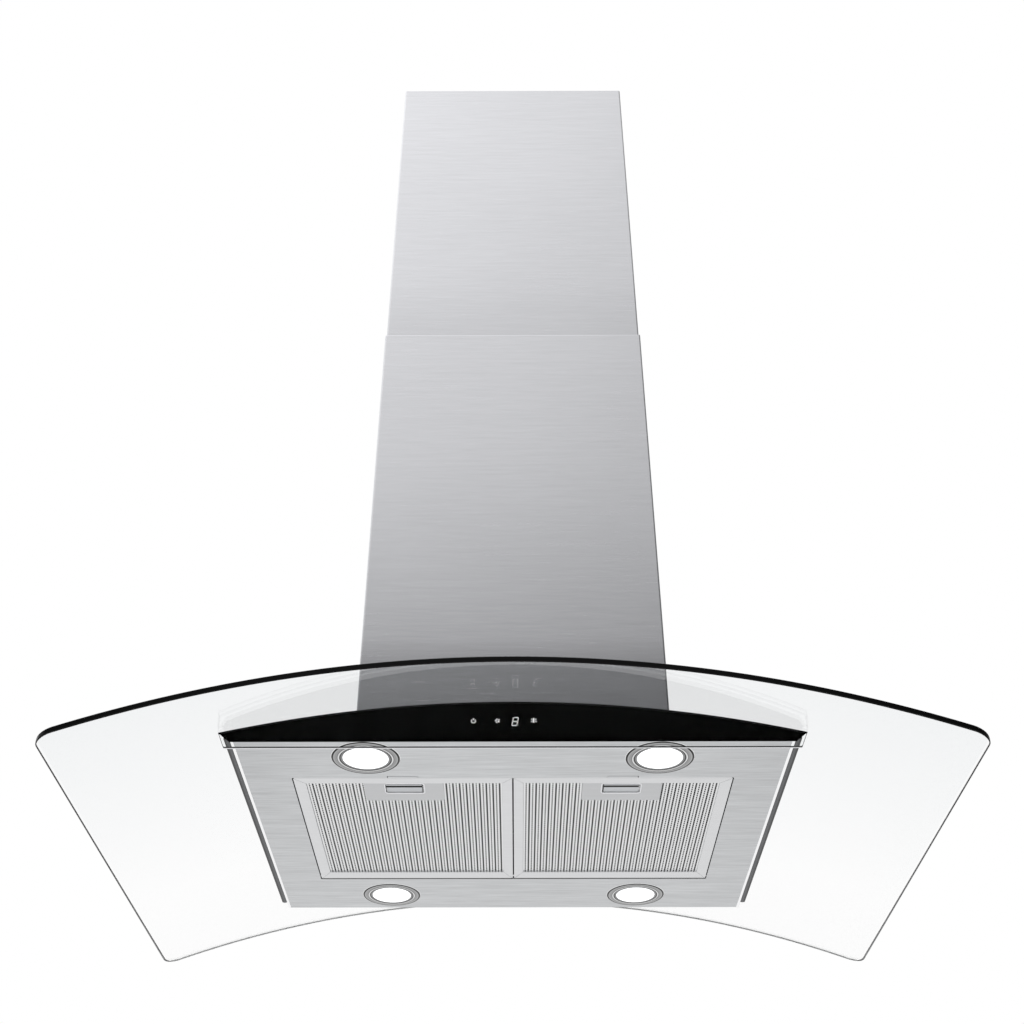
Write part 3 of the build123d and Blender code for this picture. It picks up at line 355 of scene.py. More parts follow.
def cells(tree, scale):
    """A Voronoi texture of that scale, which divides a piece into cells."""
    inputs = {"Vector": piece_place(tree), "Scale": scale}
    return added(tree, "ShaderNodeTexVoronoi", inputs).outputs


# %% [markdown]
# ### Brushed grain
#
# Stainless sheet is brushed along one direction with an abrasive belt. The scratches are far longer
# than they are wide, so the effect stretches noise: each axis has its own frequency, low along the
# belt's travel and very high across it. A second, coarser layer keeps it from looking printed.

# %% Brushed grain group
along_and_across = (15.0, 15.0, 1500.0)
brushed, dial = effect_group(
    "brushed_grain",
    {"Colour": GREY, "Stretch": along_and_across, "Contrast": 0.1, "Roughness": 0.3, "Spread": 0.1},
)
lengthened = stretched(brushed, dial["Stretch"])
fine = noise(brushed, lengthened, 1.0, detail=3.0, roughness=0.6)
coarse = noise(brushed, lengthened, 0.3, detail=1.0)
fine_share, coarse_share = 0.65, 0.35
streaks = maths(brushed, "MULTIPLY", fine, fine_share)
streaks = maths(brushed, "MULTIPLY_ADD", coarse, coarse_share, streaks)
centred = maths(brushed, "SUBTRACT", streaks, 0.5)
swing = maths(brushed, "MULTIPLY", dial["Contrast"], 4.0)
give_out(brushed, dial, (centred, swing), (centred, dial["Spread"]), streaks)

# %% [markdown]
# ### Handled
#
# Even a new hood carries a breath of handling: patches a little duller or darker than the rest,
# a hand's breadth across. The group adds them to any colour and roughness that it is given.

# %% Handled group
handled, dial = effect_group(
    "handled", {"Colour": GREY, "Roughness": 0.3, "Scale": 6.0, "Amount": 0.05}
)
wide = scaled(handled, piece_place(handled), dial["Scale"])
patches = noise(handled, wide, 1.0, detail=4.0, roughness=0.55)
patches = maths(handled, "SUBTRACT", patches, 0.5)
swing = maths(handled, "MULTIPLY", dial["Amount"], -2.0)
give_out(handled, dial, (patches, swing), (patches, dial["Amount"]))

# %% [markdown]
# ### Moulded grain
#
# A plastic moulding takes the texture of its steel mould: a fine pebble that breaks up the gloss.
# Cells from a Voronoi texture give the pebble, and a little noise keeps them uneven.

# %% Moulded grain group
moulded, dial = effect_group(
    "moulded_grain", {"Colour": GREY, "Scale": 1500.0, "Contrast": 0.1, "Roughness": 0.5}
)
pebble = cells(moulded, dial["Scale"])["Distance"]
drift = noise(moulded, piece_place(moulded), 30.0, detail=3.0)
uneven = maths(moulded, "MULTIPLY_ADD", pebble, 0.5, drift)
uneven = maths(moulded, "SUBTRACT", uneven, 0.75)
give_out(moulded, dial, (uneven, dial["Contrast"]), (uneven, 0.15), pebble)

# %% [markdown]
# ### Zinc spangle
#
# The hidden frame, deck and boxes are zinc-coated sheet. As the coating sets it grows flat crystals
# a few millimetres wide, each of a slightly different grey. Voronoi cells have just that pattern,
# and the random colour of each cell gives it a shade of its own.

# %% Zinc spangle group
spangle, dial = effect_group(
    "zinc_spangle", {"Colour": GREY, "Scale": 120.0, "Contrast": 0.2, "Roughness": 0.4}
)
crystals = cells(spangle, dial["Scale"])["Color"]
one, two, three = added(spangle, "ShaderNodeSeparateColor", {0: crystals}).outputs
centred = maths(spangle, "SUBTRACT", one, 0.5)
give_out(spangle, dial, (centred, dial["Contrast"]), (two, 0.15), three)

# %% [markdown]
# ## Finishes
#
# A finish is one Principled shader with an effect group in front of it. The helpers below make the
# shader, place a group with its dials set, and wire its results, through a Bump node where the grain
# can be felt. The bump's distance is in metres, and a few hundredths of a millimetre is enough. Some
# finishes also take a shade, painted light and shade over the colour: a factor that a small function
# works out from the place on the piece, such as the painted shade at the bottom of a groove or the
# painted light on the top of a rib.

# %% Helpers for finishes
hand_marks = {"Scale": 5.0, "Amount": 0.03}


def grained(name, values, group, dials, bump, relief, shade):
    """A finish with an effect group, and a painted shade over its colour where one is given."""
    material, tree, shader = new_finish(name, values)
    grain = added(tree, "ShaderNodeGroup", dials, node_tree=group).outputs
    worn = grain
    if group is brushed:
        touch = {"Colour": grain["Colour"], "Roughness": grain["Roughness"], **hand_marks}
        worn = added(tree, "ShaderNodeGroup", touch, node_tree=handled).outputs
    # the shade is painted light and shade laid over the colour
    colour = scaled(tree, worn["Colour"], shade(tree)) if shade else worn["Colour"]
    raised = added(
        tree, "ShaderNodeBump", {"Strength": bump, "Distance": relief, "Height": grain["Height"]}
    )
    tree.links.new(colour, shader.inputs["Base Color"])
    tree.links.new(worn["Roughness"], shader.inputs["Roughness"])
    tree.links.new(raised.outputs["Normal"], shader.inputs["Normal"])
    return material


def brushed_finish(
    name, colour, stretch, roughness, contrast=0.08, spread=0.12, shade=None, metallic=1.0
):
    """Brushed sheet metal that has been handled a little."""
    dials = {"Colour": rgb(*colour), "Stretch": stretch, "Roughness": roughness}
    dials.update({"Contrast": contrast, "Spread": spread})
    return grained(name, {"Metallic": metallic}, brushed, dials, 0.15, 0.02 * MM, shade)


def moulded_finish(
    name, colour, roughness, contrast=0.12, scale=1500.0, bump=0.25, shade=None, gloss=0.5
):
    """Moulded plastic or rubber with a fine pebble."""
    values = {"Metallic": 0.0, "Specular IOR Level": gloss}
    dials = {"Colour": rgb(*colour), "Scale": scale, "Contrast": contrast, "Roughness": roughness}
    return grained(name, values, moulded, dials, bump, 0.05 * MM, shade)


def zinc_finish(name, colour, scale):
    """Zinc-coated sheet with its crystals."""
    dials = {"Colour": rgb(*colour), "Scale": scale, "Contrast": 0.35, "Roughness": 0.34}
    return grained(name, {"Metallic": 0.85}, spangle, dials, 0.1, 0.05 * MM, None)


def paint(material, *names):
    """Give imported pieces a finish."""
    for name in names:
        piece = nodes[name]
        piece.data.materials.clear()
        piece.data.materials.append(material)


# %% [markdown]
# ### Brushed stainless steel
#
# The chimney and the bottom panel are the same satin stainless sheet, brushed from side to side.
# On the chimney's upright faces the scratches are stacked in height, so height gets the high
# frequency. The bottom panel lies flat, so there it is the distance from front to rear. The sheared
# top edge of the lower covers gets a painted highlight, and the upper covers get a painted shade just
# above it, where they dive into the lower ones, fading out higher up. The chimney's foot, which is
# seen through the arched glass, gets a painted shade, and so do the panel's front corners.


# %% Chimney and bottom panel
def painted_light_at_joint_and_foot(tree):
    """Painted highlight on the lower covers' top edge, painted shade above it, and painted shade at
    the chimney's foot.
    """
    edge_height, joint_height, fade_height = 1.2 * MM, 2.0 * MM, 120.0 * MM
    glass_start, glass_end, foot_height = 86.0 * MM, 128.0 * MM, 70.0 * MM
    z = piece_axes(tree)[2]
    below = maths(tree, "LESS_THAN", z, split_z)
    near_below = maths(tree, "GREATER_THAN", z, split_z - edge_height)
    near_above = maths(tree, "LESS_THAN", z, split_z + joint_height)
    # painted highlight on the lower covers' top edge, painted shade just above it
    bright = maths(tree, "MULTIPLY", below, near_below)
    dark = maths(tree, "SUBTRACT", near_above, below)
    lit = maths(tree, "MULTIPLY_ADD", bright, 0.15, 1.0)
    lit = maths(tree, "MULTIPLY_ADD", dark, -0.15, lit)
    # painted shade on the upper covers, fading out upwards from the joint
    fading = step_between(tree, z, split_z, split_z + fade_height, 0.92, 1.0)
    lit = maths(tree, "MULTIPLY", lit, maths(tree, "MAXIMUM", fading, below))
    # painted shade where the chimney is seen through the glass, and more at its foot
    painted_shade_behind_glass = step_between(tree, z, crown_z + glass_start, crown_z + glass_end, 0.74, 1.0)
    foot = step_between(tree, z, crown_z, crown_z + foot_height, 0.85, 1.0)
    return maths(tree, "MULTIPLY", lit, maths(tree, "MULTIPLY", painted_shade_behind_glass, foot))


def painted_corner_shade(tree):
    """Painted shade, a little darker towards the front corners of the bottom panel."""
    side_start, side_end = 190.0 * MM, 270.0 * MM
    front_y, rear_y = -200.0 * MM, 60.0 * MM
    x, y, _ = piece_axes(tree)
    # painted shade towards the front corners of the panel
    outwards = step_between(tree, maths(tree, "ABSOLUTE", x), side_start, side_end, 0.0, 0.10)
    forwards = step_between(tree, y, front_y, rear_y, 1.0, 0.2)
    return maths(tree, "SUBTRACT", 1.0, maths(tree, "MULTIPLY", outwards, forwards))


chimney_steel = brushed_finish(
    "chimney_steel", (0.775, 0.778, 0.805), (40.0, 40.0, 900.0), 0.26, 0.06, 0.08, painted_light_at_joint_and_foot
)
panel_steel = brushed_finish(
    "panel_steel", (0.60, 0.61, 0.62), (24.0, 360.0, 360.0), 0.32, 0.18, shade=painted_corner_shade
)
for side in ("front", "rear"):
    paint(chimney_steel, f"upper_chimney_{side}", f"lower_chimney_{side}")
paint(panel_steel, "body_pan")
print("steel:", chimney_steel.name, panel_steel.name)

# %% [markdown]
# ### Zinc-coated sheet
#
# Everything that the chimney hides is plain zinc-coated steel: the ceiling plate, the telescopic
# posts with their brace, the deck on the glass, the motor box and the body's top skin.

# %% Hidden frame and boxes
zinc_sheet = zinc_finish("zinc_sheet", (0.56, 0.58, 0.60), 140.0)
paint(zinc_sheet, "ceiling_plate", "upper_posts", "upper_brace", "lower_posts", "mounting_deck")
paint(zinc_sheet, "motor_box", "motor_bracket", "body_top")
print("zinc:", zinc_sheet.name)

# %% [markdown]
# ### Aluminium, chrome and small metal
#
# The filters' frames and handle plates are satin aluminium, lighter than the steel around them.
# The frame's rear bar gets a painted shade along its last millimetres.
# The screws are zinc-bright, and the springs plain wire.


# %% Light metals
def painted_rear_shade(tree):
    """Painted shade along the rear edge of a filter's frame."""
    rear_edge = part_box("filter_frame_left")[1].y
    start, end = rear_edge - 1.6 * MM, rear_edge - 1.3 * MM
    # painted shade along the frame's last millimetres at the rear
    return step_between(tree, piece_axes(tree)[1], start, end, 1.0, 0.12)


filter_frame_metal = brushed_finish(
    "filter_frame_metal", (0.73, 0.735, 0.745), (60.0, 900.0, 900.0), 0.30, 0.05, shade=painted_rear_shade
)
handle_metal = brushed_finish(
    "handle_metal", (0.585, 0.59, 0.60), (60.0, 1100.0, 900.0), 0.36, 0.06
)
bright_metal = brushed_finish("bright_metal", (0.70, 0.70, 0.71), (900.0, 900.0, 900.0), 0.22)
can_metal = brushed_finish("can_metal", (0.64, 0.64, 0.65), (300.0, 300.0, 900.0), 0.35)
paint(filter_frame_metal, "filter_frame_left", "filter_frame_right")
paint(handle_metal, "filter_handle_left", "filter_handle_right")
paint(bright_metal, "upper_cover_screws", "lower_cover_screws", "height_screws", "glass_bolts")
paint(bright_metal, "filter_hinge_rod", "blower_shaft", "latch_spring_left", "latch_spring_right")
paint(can_metal, "lamp_cans")
print("light metals done")

# %% [markdown]
# ### Plastics and rubber
#
# Mouldings differ in colour and in how matt they are, so one helper serves them all. The two side
# rails get a painted shade along both edges, so their middle is lighter. The latches are light grey.
# Only their finger pads show, in the slots of the handle plates. Each latch gets a painted shade
# above its pad's underside, in the gap of the slot, and a painted shade of a groove across each pad.


# %% Rails and latches
def painted_rail_edge_shade(tree):
    """Painted shade along both edges of a side rail, so its middle is lighter."""
    rail_low, rail_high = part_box("side_rail_right")
    outwards = maths(tree, "ABSOLUTE", piece_axes(tree)[0])
    away = maths(tree, "SUBTRACT", outwards, (rail_low.x + rail_high.x) / 2)
    # painted shade along both edges of the rail
    return step_between(tree, maths(tree, "ABSOLUTE", away), 1.3 * MM, 1.6 * MM, 1.0, 0.30)


def painted_pad_shade(tree):
    """Painted shade above the underside of a latch's finger pad, and a painted groove shade across
    the pad.
    """
    groove_y, groove_half, groove_edge = -118.4 * MM, 1.9 * MM, 2.4 * MM
    _, y, z = piece_axes(tree)
    pad_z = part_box("filter_latch_left")[0].z
    # painted shade in the gap above the pad's underside
    above = step_between(tree, z, pad_z + 0.15 * MM, pad_z + 0.3 * MM, 1.0, 0.40)
    # painted shade of a groove across the pad
    away = maths(tree, "ABSOLUTE", maths(tree, "SUBTRACT", y, groove_y))
    groove = step_between(tree, away, groove_half, groove_edge, 0.01, 1.0)
    return maths(tree, "MULTIPLY", above, groove)


rail_plastic = moulded_finish("rail_plastic", (0.082, 0.084, 0.088), 0.42, shade=painted_rail_edge_shade)
latch_plastic = moulded_finish(
    "latch_plastic", (0.62, 0.63, 0.64), 0.40, contrast=0.06, shade=painted_pad_shade, gloss=0.1
)
paint(rail_plastic, "side_rail_left", "side_rail_right")
paint(latch_plastic, "filter_latch_left", "filter_latch_right")
print("rails and latches:", rail_plastic.name, latch_plastic.name)

# %% Plain mouldings: name, colour, roughness, other dials, pieces
soft_contrast = {"contrast": 0.06}
mouldings = [
    ("gasket_rubber", (0.02, 0.02, 0.02), 0.75, {}, ["upper_gasket", "lower_gasket"]),
    ("nylon", (0.72, 0.71, 0.67), 0.45, soft_contrast, ["glass_bushes", "wedge_washers"]),
    ("blower_plastic", (0.06, 0.062, 0.066), 0.45, {}, ["scroll_half_left", "scroll_half_right"]),
    ("wheel_plastic", (0.025, 0.025, 0.028), 0.50, {}, ["blower_wheel"]),
    (
        "collar_plastic", (0.018, 0.018, 0.02), 0.45, {},
        ["outlet_collar", "outlet_flap_front", "outlet_flap_rear"],
    ),
    ("power_plastic", (0.55, 0.55, 0.53), 0.50, soft_contrast, ["power_box", "power_box_lid"]),
    ("terminal_plastic", (0.74, 0.74, 0.70), 0.42, {"contrast": 0.05}, ["terminal_block"]),
    ("gland_plastic", (0.015, 0.015, 0.016), 0.40, {}, ["cable_gland"]),
    ("display_plastic", (0.012, 0.012, 0.012), 0.25, {"bump": 0.05}, ["display_module"]),
    (
        "board_lacquer", (0.012, 0.10, 0.045), 0.28, {"contrast": 0.5, "scale": 400.0},
        ["touch_board"],
    ),
    ("motor_paint", (0.03, 0.032, 0.036), 0.38, {"scale": 900.0}, ["blower_motor"]),
]
for name, colour, roughness, dials, pieces in mouldings:
    paint(moulded_finish(name, colour, roughness, **dials), *pieces)
print("plain mouldings:", len(mouldings))

# %% [markdown]
# The touch panel's back is covered with black print, down to a few millimetres above its lower
# edge. The print sits behind the glass, so its gloss comes from the glass in front. Its own surface
# mirrors nothing, or the panel would turn grey.

# %% Black print
black_print = moulded_finish(
    "black_print", (0.0012, 0.0012, 0.0014), 0.5, contrast=0.3, bump=0.05, gloss=0.0
)
print("print:", black_print.name)

# %% [markdown]
# ### Lit lenses
#
# The lamps are on. A frosted lens spreads its light evenly, so it looks like a flat white disc, a
# touch less bright towards its rim. The glow is an emission colour that fades with the distance
# from the lens's centre, and its strength stays at one, so that it is white and doesn't flare.

# %% Lamp lenses
lamp_corners = ("front_left", "front_right", "rear_left", "rear_right")


def glow_finish(name, centre, radius):
    """A frosted lens lit from behind, brightest in its middle."""
    values = {"Roughness": 0.55, "Metallic": 0.0, "Emission Strength": 1.0}
    material, tree, shader = new_finish(name, values)
    ends = {0: piece_place(tree), 1: centre}
    away = added(tree, "ShaderNodeVectorMath", ends, operation="DISTANCE").outputs["Value"]
    fading = step_between(tree, away, 0.5 * radius, radius, 0.0, 1.0)
    glow = blended(tree, fading, rgb(1.0, 1.0, 1.0), rgb(0.80, 0.81, 0.82))
    tree.links.new(glow, shader.inputs["Emission Color"])
    tree.links.new(glow, shader.inputs["Base Color"])
    return material


for corner in lamp_corners:
    low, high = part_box(f"lamp_lens_{corner}")
    lens_radius = (high.x - low.x) / 2
    paint(glow_finish(f"lit_lens_{corner}", (low + high) / 2, lens_radius), f"lamp_lens_{corner}")
print("lens radius:", round(lens_radius / MM, 1), "mm")

# %% [markdown]
# ## Pieces made here
#
# Everything from here on is a mesh written in code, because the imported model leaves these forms
# plain. The helpers turn plain lists of corners and faces into a piece with a finish, and let it
# ride on a body of the hood, so that it slides or tilts with what carries it. The normals of a
# closed piece are turned outwards at the end, so a face may be listed either way round.


# %% Helpers: arcs, closed pieces, turned rings
def arc(centre, radius, start_degrees, end_degrees, steps):
    """Points on an arc, both ends included."""
    span = math.radians(end_degrees - start_degrees)
    angles = [math.radians(start_degrees) + span * i / steps for i in range(steps + 1)]
    return [(centre[0] + radius * math.cos(a), centre[1] + radius * math.sin(a)) for a in angles]


def closed_mesh(name, vertices, faces, material, sharp_degrees=None):
    """A closed mesh with its faces turned outwards, shaded smooth up to an angle if given one."""
    mesh = bpy.data.meshes.new(name)
    mesh.from_pydata(vertices, [], faces)
    shell = bmesh.new()
    shell.from_mesh(mesh)
    bmesh.ops.recalc_face_normals(shell, faces=shell.faces[:])
    shell.to_mesh(mesh)
    shell.free()
    if sharp_degrees:
        mesh.shade_smooth()
        mesh.set_sharp_from_angle(angle=math.radians(sharp_degrees))
    mesh.materials.append(material)
    return mesh


def mounted(name, mesh, body, place=(0.0, 0.0, 0.0), turn=(0.0, 0.0, 0.0)):
    """An object of that mesh, at a place, riding on a body of the hood."""
    piece = bpy.data.objects.new(name, mesh)
    piece.location = place
    piece.rotation_euler = turn
    scene.collection.objects.link(piece)
    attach(piece, body)
    return piece


def joined_rings(rings, closed=False):
    """Corners and faces of a tube through rings of corners, closed on itself or with two lids."""
    around = len(rings[0])
    vertices = [corner for ring in rings for corner in ring]
    faces = []
    for step in range(len(rings) if closed else len(rings) - 1):
        near, far = step * around, (step + 1) % len(rings) * around
        for i in range(around):
            j = (i + 1) % around
            faces.append((near + i, near + j, far + j, far + i))
    if not closed:
        faces.append(tuple(range(around)))
        faces.append(tuple(range(len(vertices) - around, len(vertices))))
    return vertices, faces


def turned(profile, steps):
    """Corners and faces of a closed profile of (radius, height) spun about the Z axis."""
    rings = []
    for step in range(steps):
        a = math.tau * step / steps
        rings.append([(r * math.cos(a), r * math.sin(a), z) for r, z in profile])
    return joined_rings(rings, closed=True)


# %% [markdown]
# ### Sheets with ground edges
#
# A glass sheet starts as a flat plan: an outline with holes in it, filled with faces. The plan is
# cut into narrow strips, so that it can follow the arch. Then it is placed twice, once for each
# side of the glass, and its rim is closed by rows of narrow faces that turn round the edge as the
# grinding wheel does. Each corner of each face is given the true direction of the surface there, so
# the curved sheet mirrors and refracts as one smooth arch and shows none of its strips.


# %% Helpers: plans and sheets
def rounded_rectangle(low, high, corner, steps, cuts=()):
    """Points anticlockwise around a rectangle with round corners, and more on its long sides."""
    points = arc((high[0] - corner, low[1] + corner), corner, -90, 0, steps)
    points += arc((high[0] - corner, high[1] - corner), corner, 0, 90, steps)
    points += [(x, high[1]) for x in reversed(cuts)]
    points += arc((low[0] + corner, high[1] - corner), corner, 90, 180, steps)
    points += arc((low[0] + corner, low[1] + corner), corner, 180, 270, steps)
    return points + [(x, low[1]) for x in cuts]


def filled_plan(outlines, cuts=()):
    """Fill the area inside the first outline and outside the others, cut into strips.

    Gives the points, the faces, and the rim's edges, each with the area on its left.
    """
    sheet = bmesh.new()
    for outline in outlines:
        corners = [sheet.verts.new((x, y, 0.0)) for x, y in outline]
        for i, corner in enumerate(corners):
            sheet.edges.new((corners[i - 1], corner))
    bmesh.ops.triangle_fill(sheet, edges=sheet.edges[:], use_beauty=True, normal=(0.0, 0.0, 1.0))
    for x in cuts:
        whole = sheet.verts[:] + sheet.edges[:] + sheet.faces[:]
        bmesh.ops.bisect_plane(
            sheet, geom=whole, dist=1e-6, plane_co=(x, 0.0, 0.0), plane_no=(1.0, 0.0, 0.0)
        )
    for face in sheet.faces:
        face.normal_update()
        if face.normal.z < 0.0:
            face.normal_flip()
    sheet.verts.index_update()
    points = [(corner.co.x, corner.co.y) for corner in sheet.verts]
    faces = [tuple(corner.index for corner in face.verts) for face in sheet.faces]
    rim = []
    for edge in sheet.edges:
        if edge.is_boundary:
            loop = edge.link_loops[0]
            rim.append((loop.vert.index, loop.link_loop_next.vert.index))
    sheet.free()
    return points, faces, rim


def ground_sheet(name, plan, thickness, edge_round, at, facing, sideways, finishes):
    """A sheet of that thickness over a plan, its rim ground round.

    at(point, depth) places a point of the plan, facing(point) is the surface's direction there,
    and sideways(way) is the direction in space of a way out of the plan. The first finish is the
    wide faces', and the second, where there is one, the rim's. Gives the mesh and its rim faces.
    """
    points, plan_faces, rim = plan
    count, rim_steps = len(points), 3
    before = {b: a for a, b in rim}
    ways = {}
    for here, following in rim:
        first = (Vector(points[here]) - Vector(points[before[here]])).normalized()
        second = (Vector(points[following]) - Vector(points[here])).normalized()
        both = first + second
        ways[here] = Vector((both.y, -both.x)) / (1.0 + first.dot(second))

    angles = [math.pi / 2 * i / rim_steps for i in range(rim_steps + 1)]
    levels = [
        (edge_round * math.sin(a), edge_round * (1.0 - math.cos(a)), math.cos(a), math.sin(a))
        for a in angles
    ]
    levels += [(out, thickness - depth, -up, side) for out, depth, up, side in reversed(levels)]

    vertices = [at(point, depth) for depth in (0.0, thickness) for point in points]
    faces = list(plan_faces) + [tuple(i + count for i in reversed(face)) for face in plan_faces]
    normals = [facing(points[i]) for face in plan_faces for i in face]
    normals += [-facing(points[i]) for face in plan_faces for i in reversed(face)]
    flat_faces = len(faces)

    rows = [{i: i for i in ways}]
    for out, depth, _, _ in levels[1:-1]:
        row = {}
        for i, way in ways.items():
            row[i] = len(vertices)
            vertices.append(at(Vector(points[i]) + way * out, depth))
        rows.append(row)
    rows.append({i: i + count for i in ways})

    for step, (upper, lower) in enumerate(zip(rows, rows[1:])):
        here, below = levels[step], levels[step + 1]
        for a, b in rim:
            faces.append((upper[b], upper[a], lower[a], lower[b]))
            for i, (_, _, up, side) in ((b, here), (a, here), (a, below), (b, below)):
                normals.append(facing(points[i]) * up + sideways(ways[i].normalized()) * side)

    mesh = bpy.data.meshes.new(name)
    mesh.from_pydata(vertices, [], faces)
    mesh.shade_smooth()
    mesh.normals_split_custom_set([tuple(normal.normalized()) for normal in normals])
    for finish in finishes:
        mesh.materials.append(finish)
    rim_faces = mesh.polygons[flat_faces:]
    for face in rim_faces:
        face.material_index = min(1, len(finishes) - 1)
    return mesh, rim_faces


def level_way(way):
    """A way out of a plan that lies level."""
    return Vector((way.x, way.y, 0.0))


# %% [markdown]
# ### Clear glass and its dark edge
#
# A sheet of clear glass is almost invisible face on, but its ground edge looks dark: light that
# enters there is trapped between the two faces, and little of it comes back out. The wide faces get a
# clear finish with a faint grey cast that is stronger at the front, as in the picture, and the rim
# gets a painted shade for that dark look. Where the glass has white behind it, as at the rear, the
# rim is painted grey, a painted light for the white behind. The side edges get a painted shade from
# outside. From inside the glass they can be seen through, down to a thin painted dark line at their
# foot. The ground lower edge of the touch panel gets a painted shade along its front half, and its
# rear half gets a painted highlight.


# %% Glass finishes
def clear_finish(name, refraction, front, rear, span):
    """Clear glass with a cast that goes from one colour at the front to another at the rear."""
    values = {"Roughness": 0.0, "IOR": refraction, "Transmission Weight": 1.0, "Metallic": 0.0}
    material, tree, shader = new_finish(name, values)
    back = step_between(tree, piece_axes(tree)[1], *span, 0.0, 1.0)
    tree.links.new(blended(tree, back, rgb(*front), rgb(*rear)), shader.inputs["Base Color"])
    return material


cast_end, edge_start = 0.10, glass_low.y + 0.02
canopy_clear = clear_finish(
    "canopy_glass", 1.5, (0.893, 0.905, 0.912), (1.0, 1.0, 1.0), (glass_low.y, cast_end)
)
panel_tint = (0.96, 0.97, 0.97)
panel_clear = clear_finish("control_glass", 1.12, panel_tint, panel_tint, (0.0, 1.0))

ground = {"Roughness": 0.12, "Metallic": 0.0}
# painted shade: the side edges are coloured near black
canopy_side, tree, shader = new_finish("canopy_side", {**ground, "Base Color": rgb(0.01, 0.01, 0.01)})
line_at_front, line_at_rear = 3.9 * MM, 5.6 * MM
inside = tree.nodes.new("ShaderNodeNewGeometry").outputs["Backfacing"]
_, y, z = piece_axes(tree)
painted_dark_line = step_between(tree, y, glass_low.y, glass_high.y, line_at_front, line_at_rear)
above_line = maths(tree, "GREATER_THAN", maths(tree, "SUBTRACT", z, glass_low.z), painted_dark_line)
see_through = maths(tree, "MULTIPLY", inside, above_line)
tree.links.new(maths(tree, "SUBTRACT", 1.0, see_through), shader.inputs["Alpha"])

ground["Specular IOR Level"] = 0.15
canopy_edge, tree, shader = new_finish("canopy_edge", ground)
# painted shade on the ground edge, turning to painted grey light towards the rear
back = step_between(tree, piece_axes(tree)[1], edge_start, glass_high.y, 0.0, 1.0)
back = maths(tree, "POWER", back, 3.0)
painted_edge_tone = blended(tree, back, rgb(0.002, 0.002, 0.002), rgb(0.42, 0.43, 0.43))
tree.links.new(painted_edge_tone, shader.inputs["Base Color"])

panel_low, panel_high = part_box("control_glass")
panel_edge, tree, shader = new_finish("control_edge", ground)
_, y, z = piece_axes(tree)
# painted shade on the lower edge, with a painted highlight on the rear half of its foot
rearward = step_between(tree, y, panel_low.y + 1.6 * MM, panel_low.y + 2.2 * MM, 0.0, 1.0)
at_foot = maths(tree, "LESS_THAN", z, panel_low.z + 0.3 * MM)
painted_highlight = maths(tree, "MULTIPLY", rearward, at_foot)
painted_edge_tone = blended(tree, painted_highlight, rgb(0.012, 0.012, 0.013), rgb(0.85, 0.85, 0.86))
tree.links.new(painted_edge_tone, shader.inputs["Base Color"])
print("glass:", canopy_clear.name, canopy_edge.name, panel_clear.name, panel_edge.name)

# %% [markdown]
# ### The canopy
#
# The canopy is one sheet of 6 mm toughened glass, sagged in a kiln over an arched former. It is
# curved from side to side and straight from front to rear. The opening for the air and the four
# bolt holes go through it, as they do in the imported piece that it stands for. The sheet hangs
# lowest at its two ends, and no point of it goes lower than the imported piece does.

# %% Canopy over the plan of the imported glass
arch_radius = 1268.0 * MM
glass_thickness = 6.0 * MM
glass_round = 1.2 * MM
glass_corner = 18.0 * MM
air_half = (115.0 * MM, 85.0 * MM)
air_corner = 8.0 * MM
bolt_place = (127.0 * MM, 97.0 * MM)
bolt_hole = 5.0 * MM
strip = 14.0 * MM
arch_centre_z = crown_z - arch_radius


def on_arch(point, depth):
    """A point of the plan, that deep in the glass."""
    height = math.sqrt((arch_radius - depth) ** 2 - point[0] ** 2)
    return (point[0], point[1], arch_centre_z + height)


def off_arch(point):
    """The direction of the arch's upper side."""
    return Vector((point[0], 0.0, math.sqrt(arch_radius**2 - point[0] ** 2))) / arch_radius


half_x = glass_high.x - glass_round
low_y, high_y = glass_low.y + glass_round, glass_high.y - glass_round
strips = int((half_x - glass_corner) / strip)
cuts = [strip * i for i in range(-strips, strips + 1)]
wide, deep = air_half[0] + glass_round, air_half[1] + glass_round
outlines = [
    rounded_rectangle((-half_x, low_y), (half_x, high_y), glass_corner - glass_round, 8, cuts),
    rounded_rectangle((-wide, -deep), (wide, deep), air_corner + glass_round, 4),
]
for x in (-bolt_place[0], bolt_place[0]):
    for y in (-bolt_place[1], bolt_place[1]):
        outlines.append(arc((x, y), bolt_hole + glass_round, 0, 345, 23))

canopy_mesh, rim_faces = ground_sheet(
    "glass_sheet",
    filled_plan(outlines, cuts),
    glass_thickness,
    glass_round,
    on_arch,
    off_arch,
    level_way,
    (canopy_clear, canopy_edge, canopy_side),
)
for vertex in canopy_mesh.vertices:
    vertex.co.z = max(vertex.co.z, glass_low.z)
for face in rim_faces:
    at_end = abs(face.center.x) > glass_high.x - glass_corner
    if at_end and abs(face.normal.x) > abs(face.normal.y):
        face.material_index = 2
canopy = mounted("glass_sheet", canopy_mesh, "hood")
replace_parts(canopy, "glass_canopy")
print("canopy:", len(canopy_mesh.polygons), "faces,", len(rim_faces), "of them in the rim")

# %% [markdown]
# ### The control glass
#
# The touch panel's glass stands upright under the front of the canopy. Its top follows the arch,
# its ends lean in towards the bottom, and its lower edge hangs 11 mm below the steel. The same
# helper makes it: this time the plan stands up, with X across and Z up, and its depth runs back.
# The black print behind the glass has the same outline, but it ends nearly 8 mm higher.

# %% Control glass
print_gap = 0.03 * MM
panel_thickness = panel_high.y - panel_low.y - print_gap
panel_round = 0.5 * MM
under_radius = arch_radius - glass_thickness - 1.0 * MM
end_lean = 6.0 * MM
foot_corner = 2.0 * MM

top_half = panel_high.x - panel_round
foot_half = top_half - end_lean


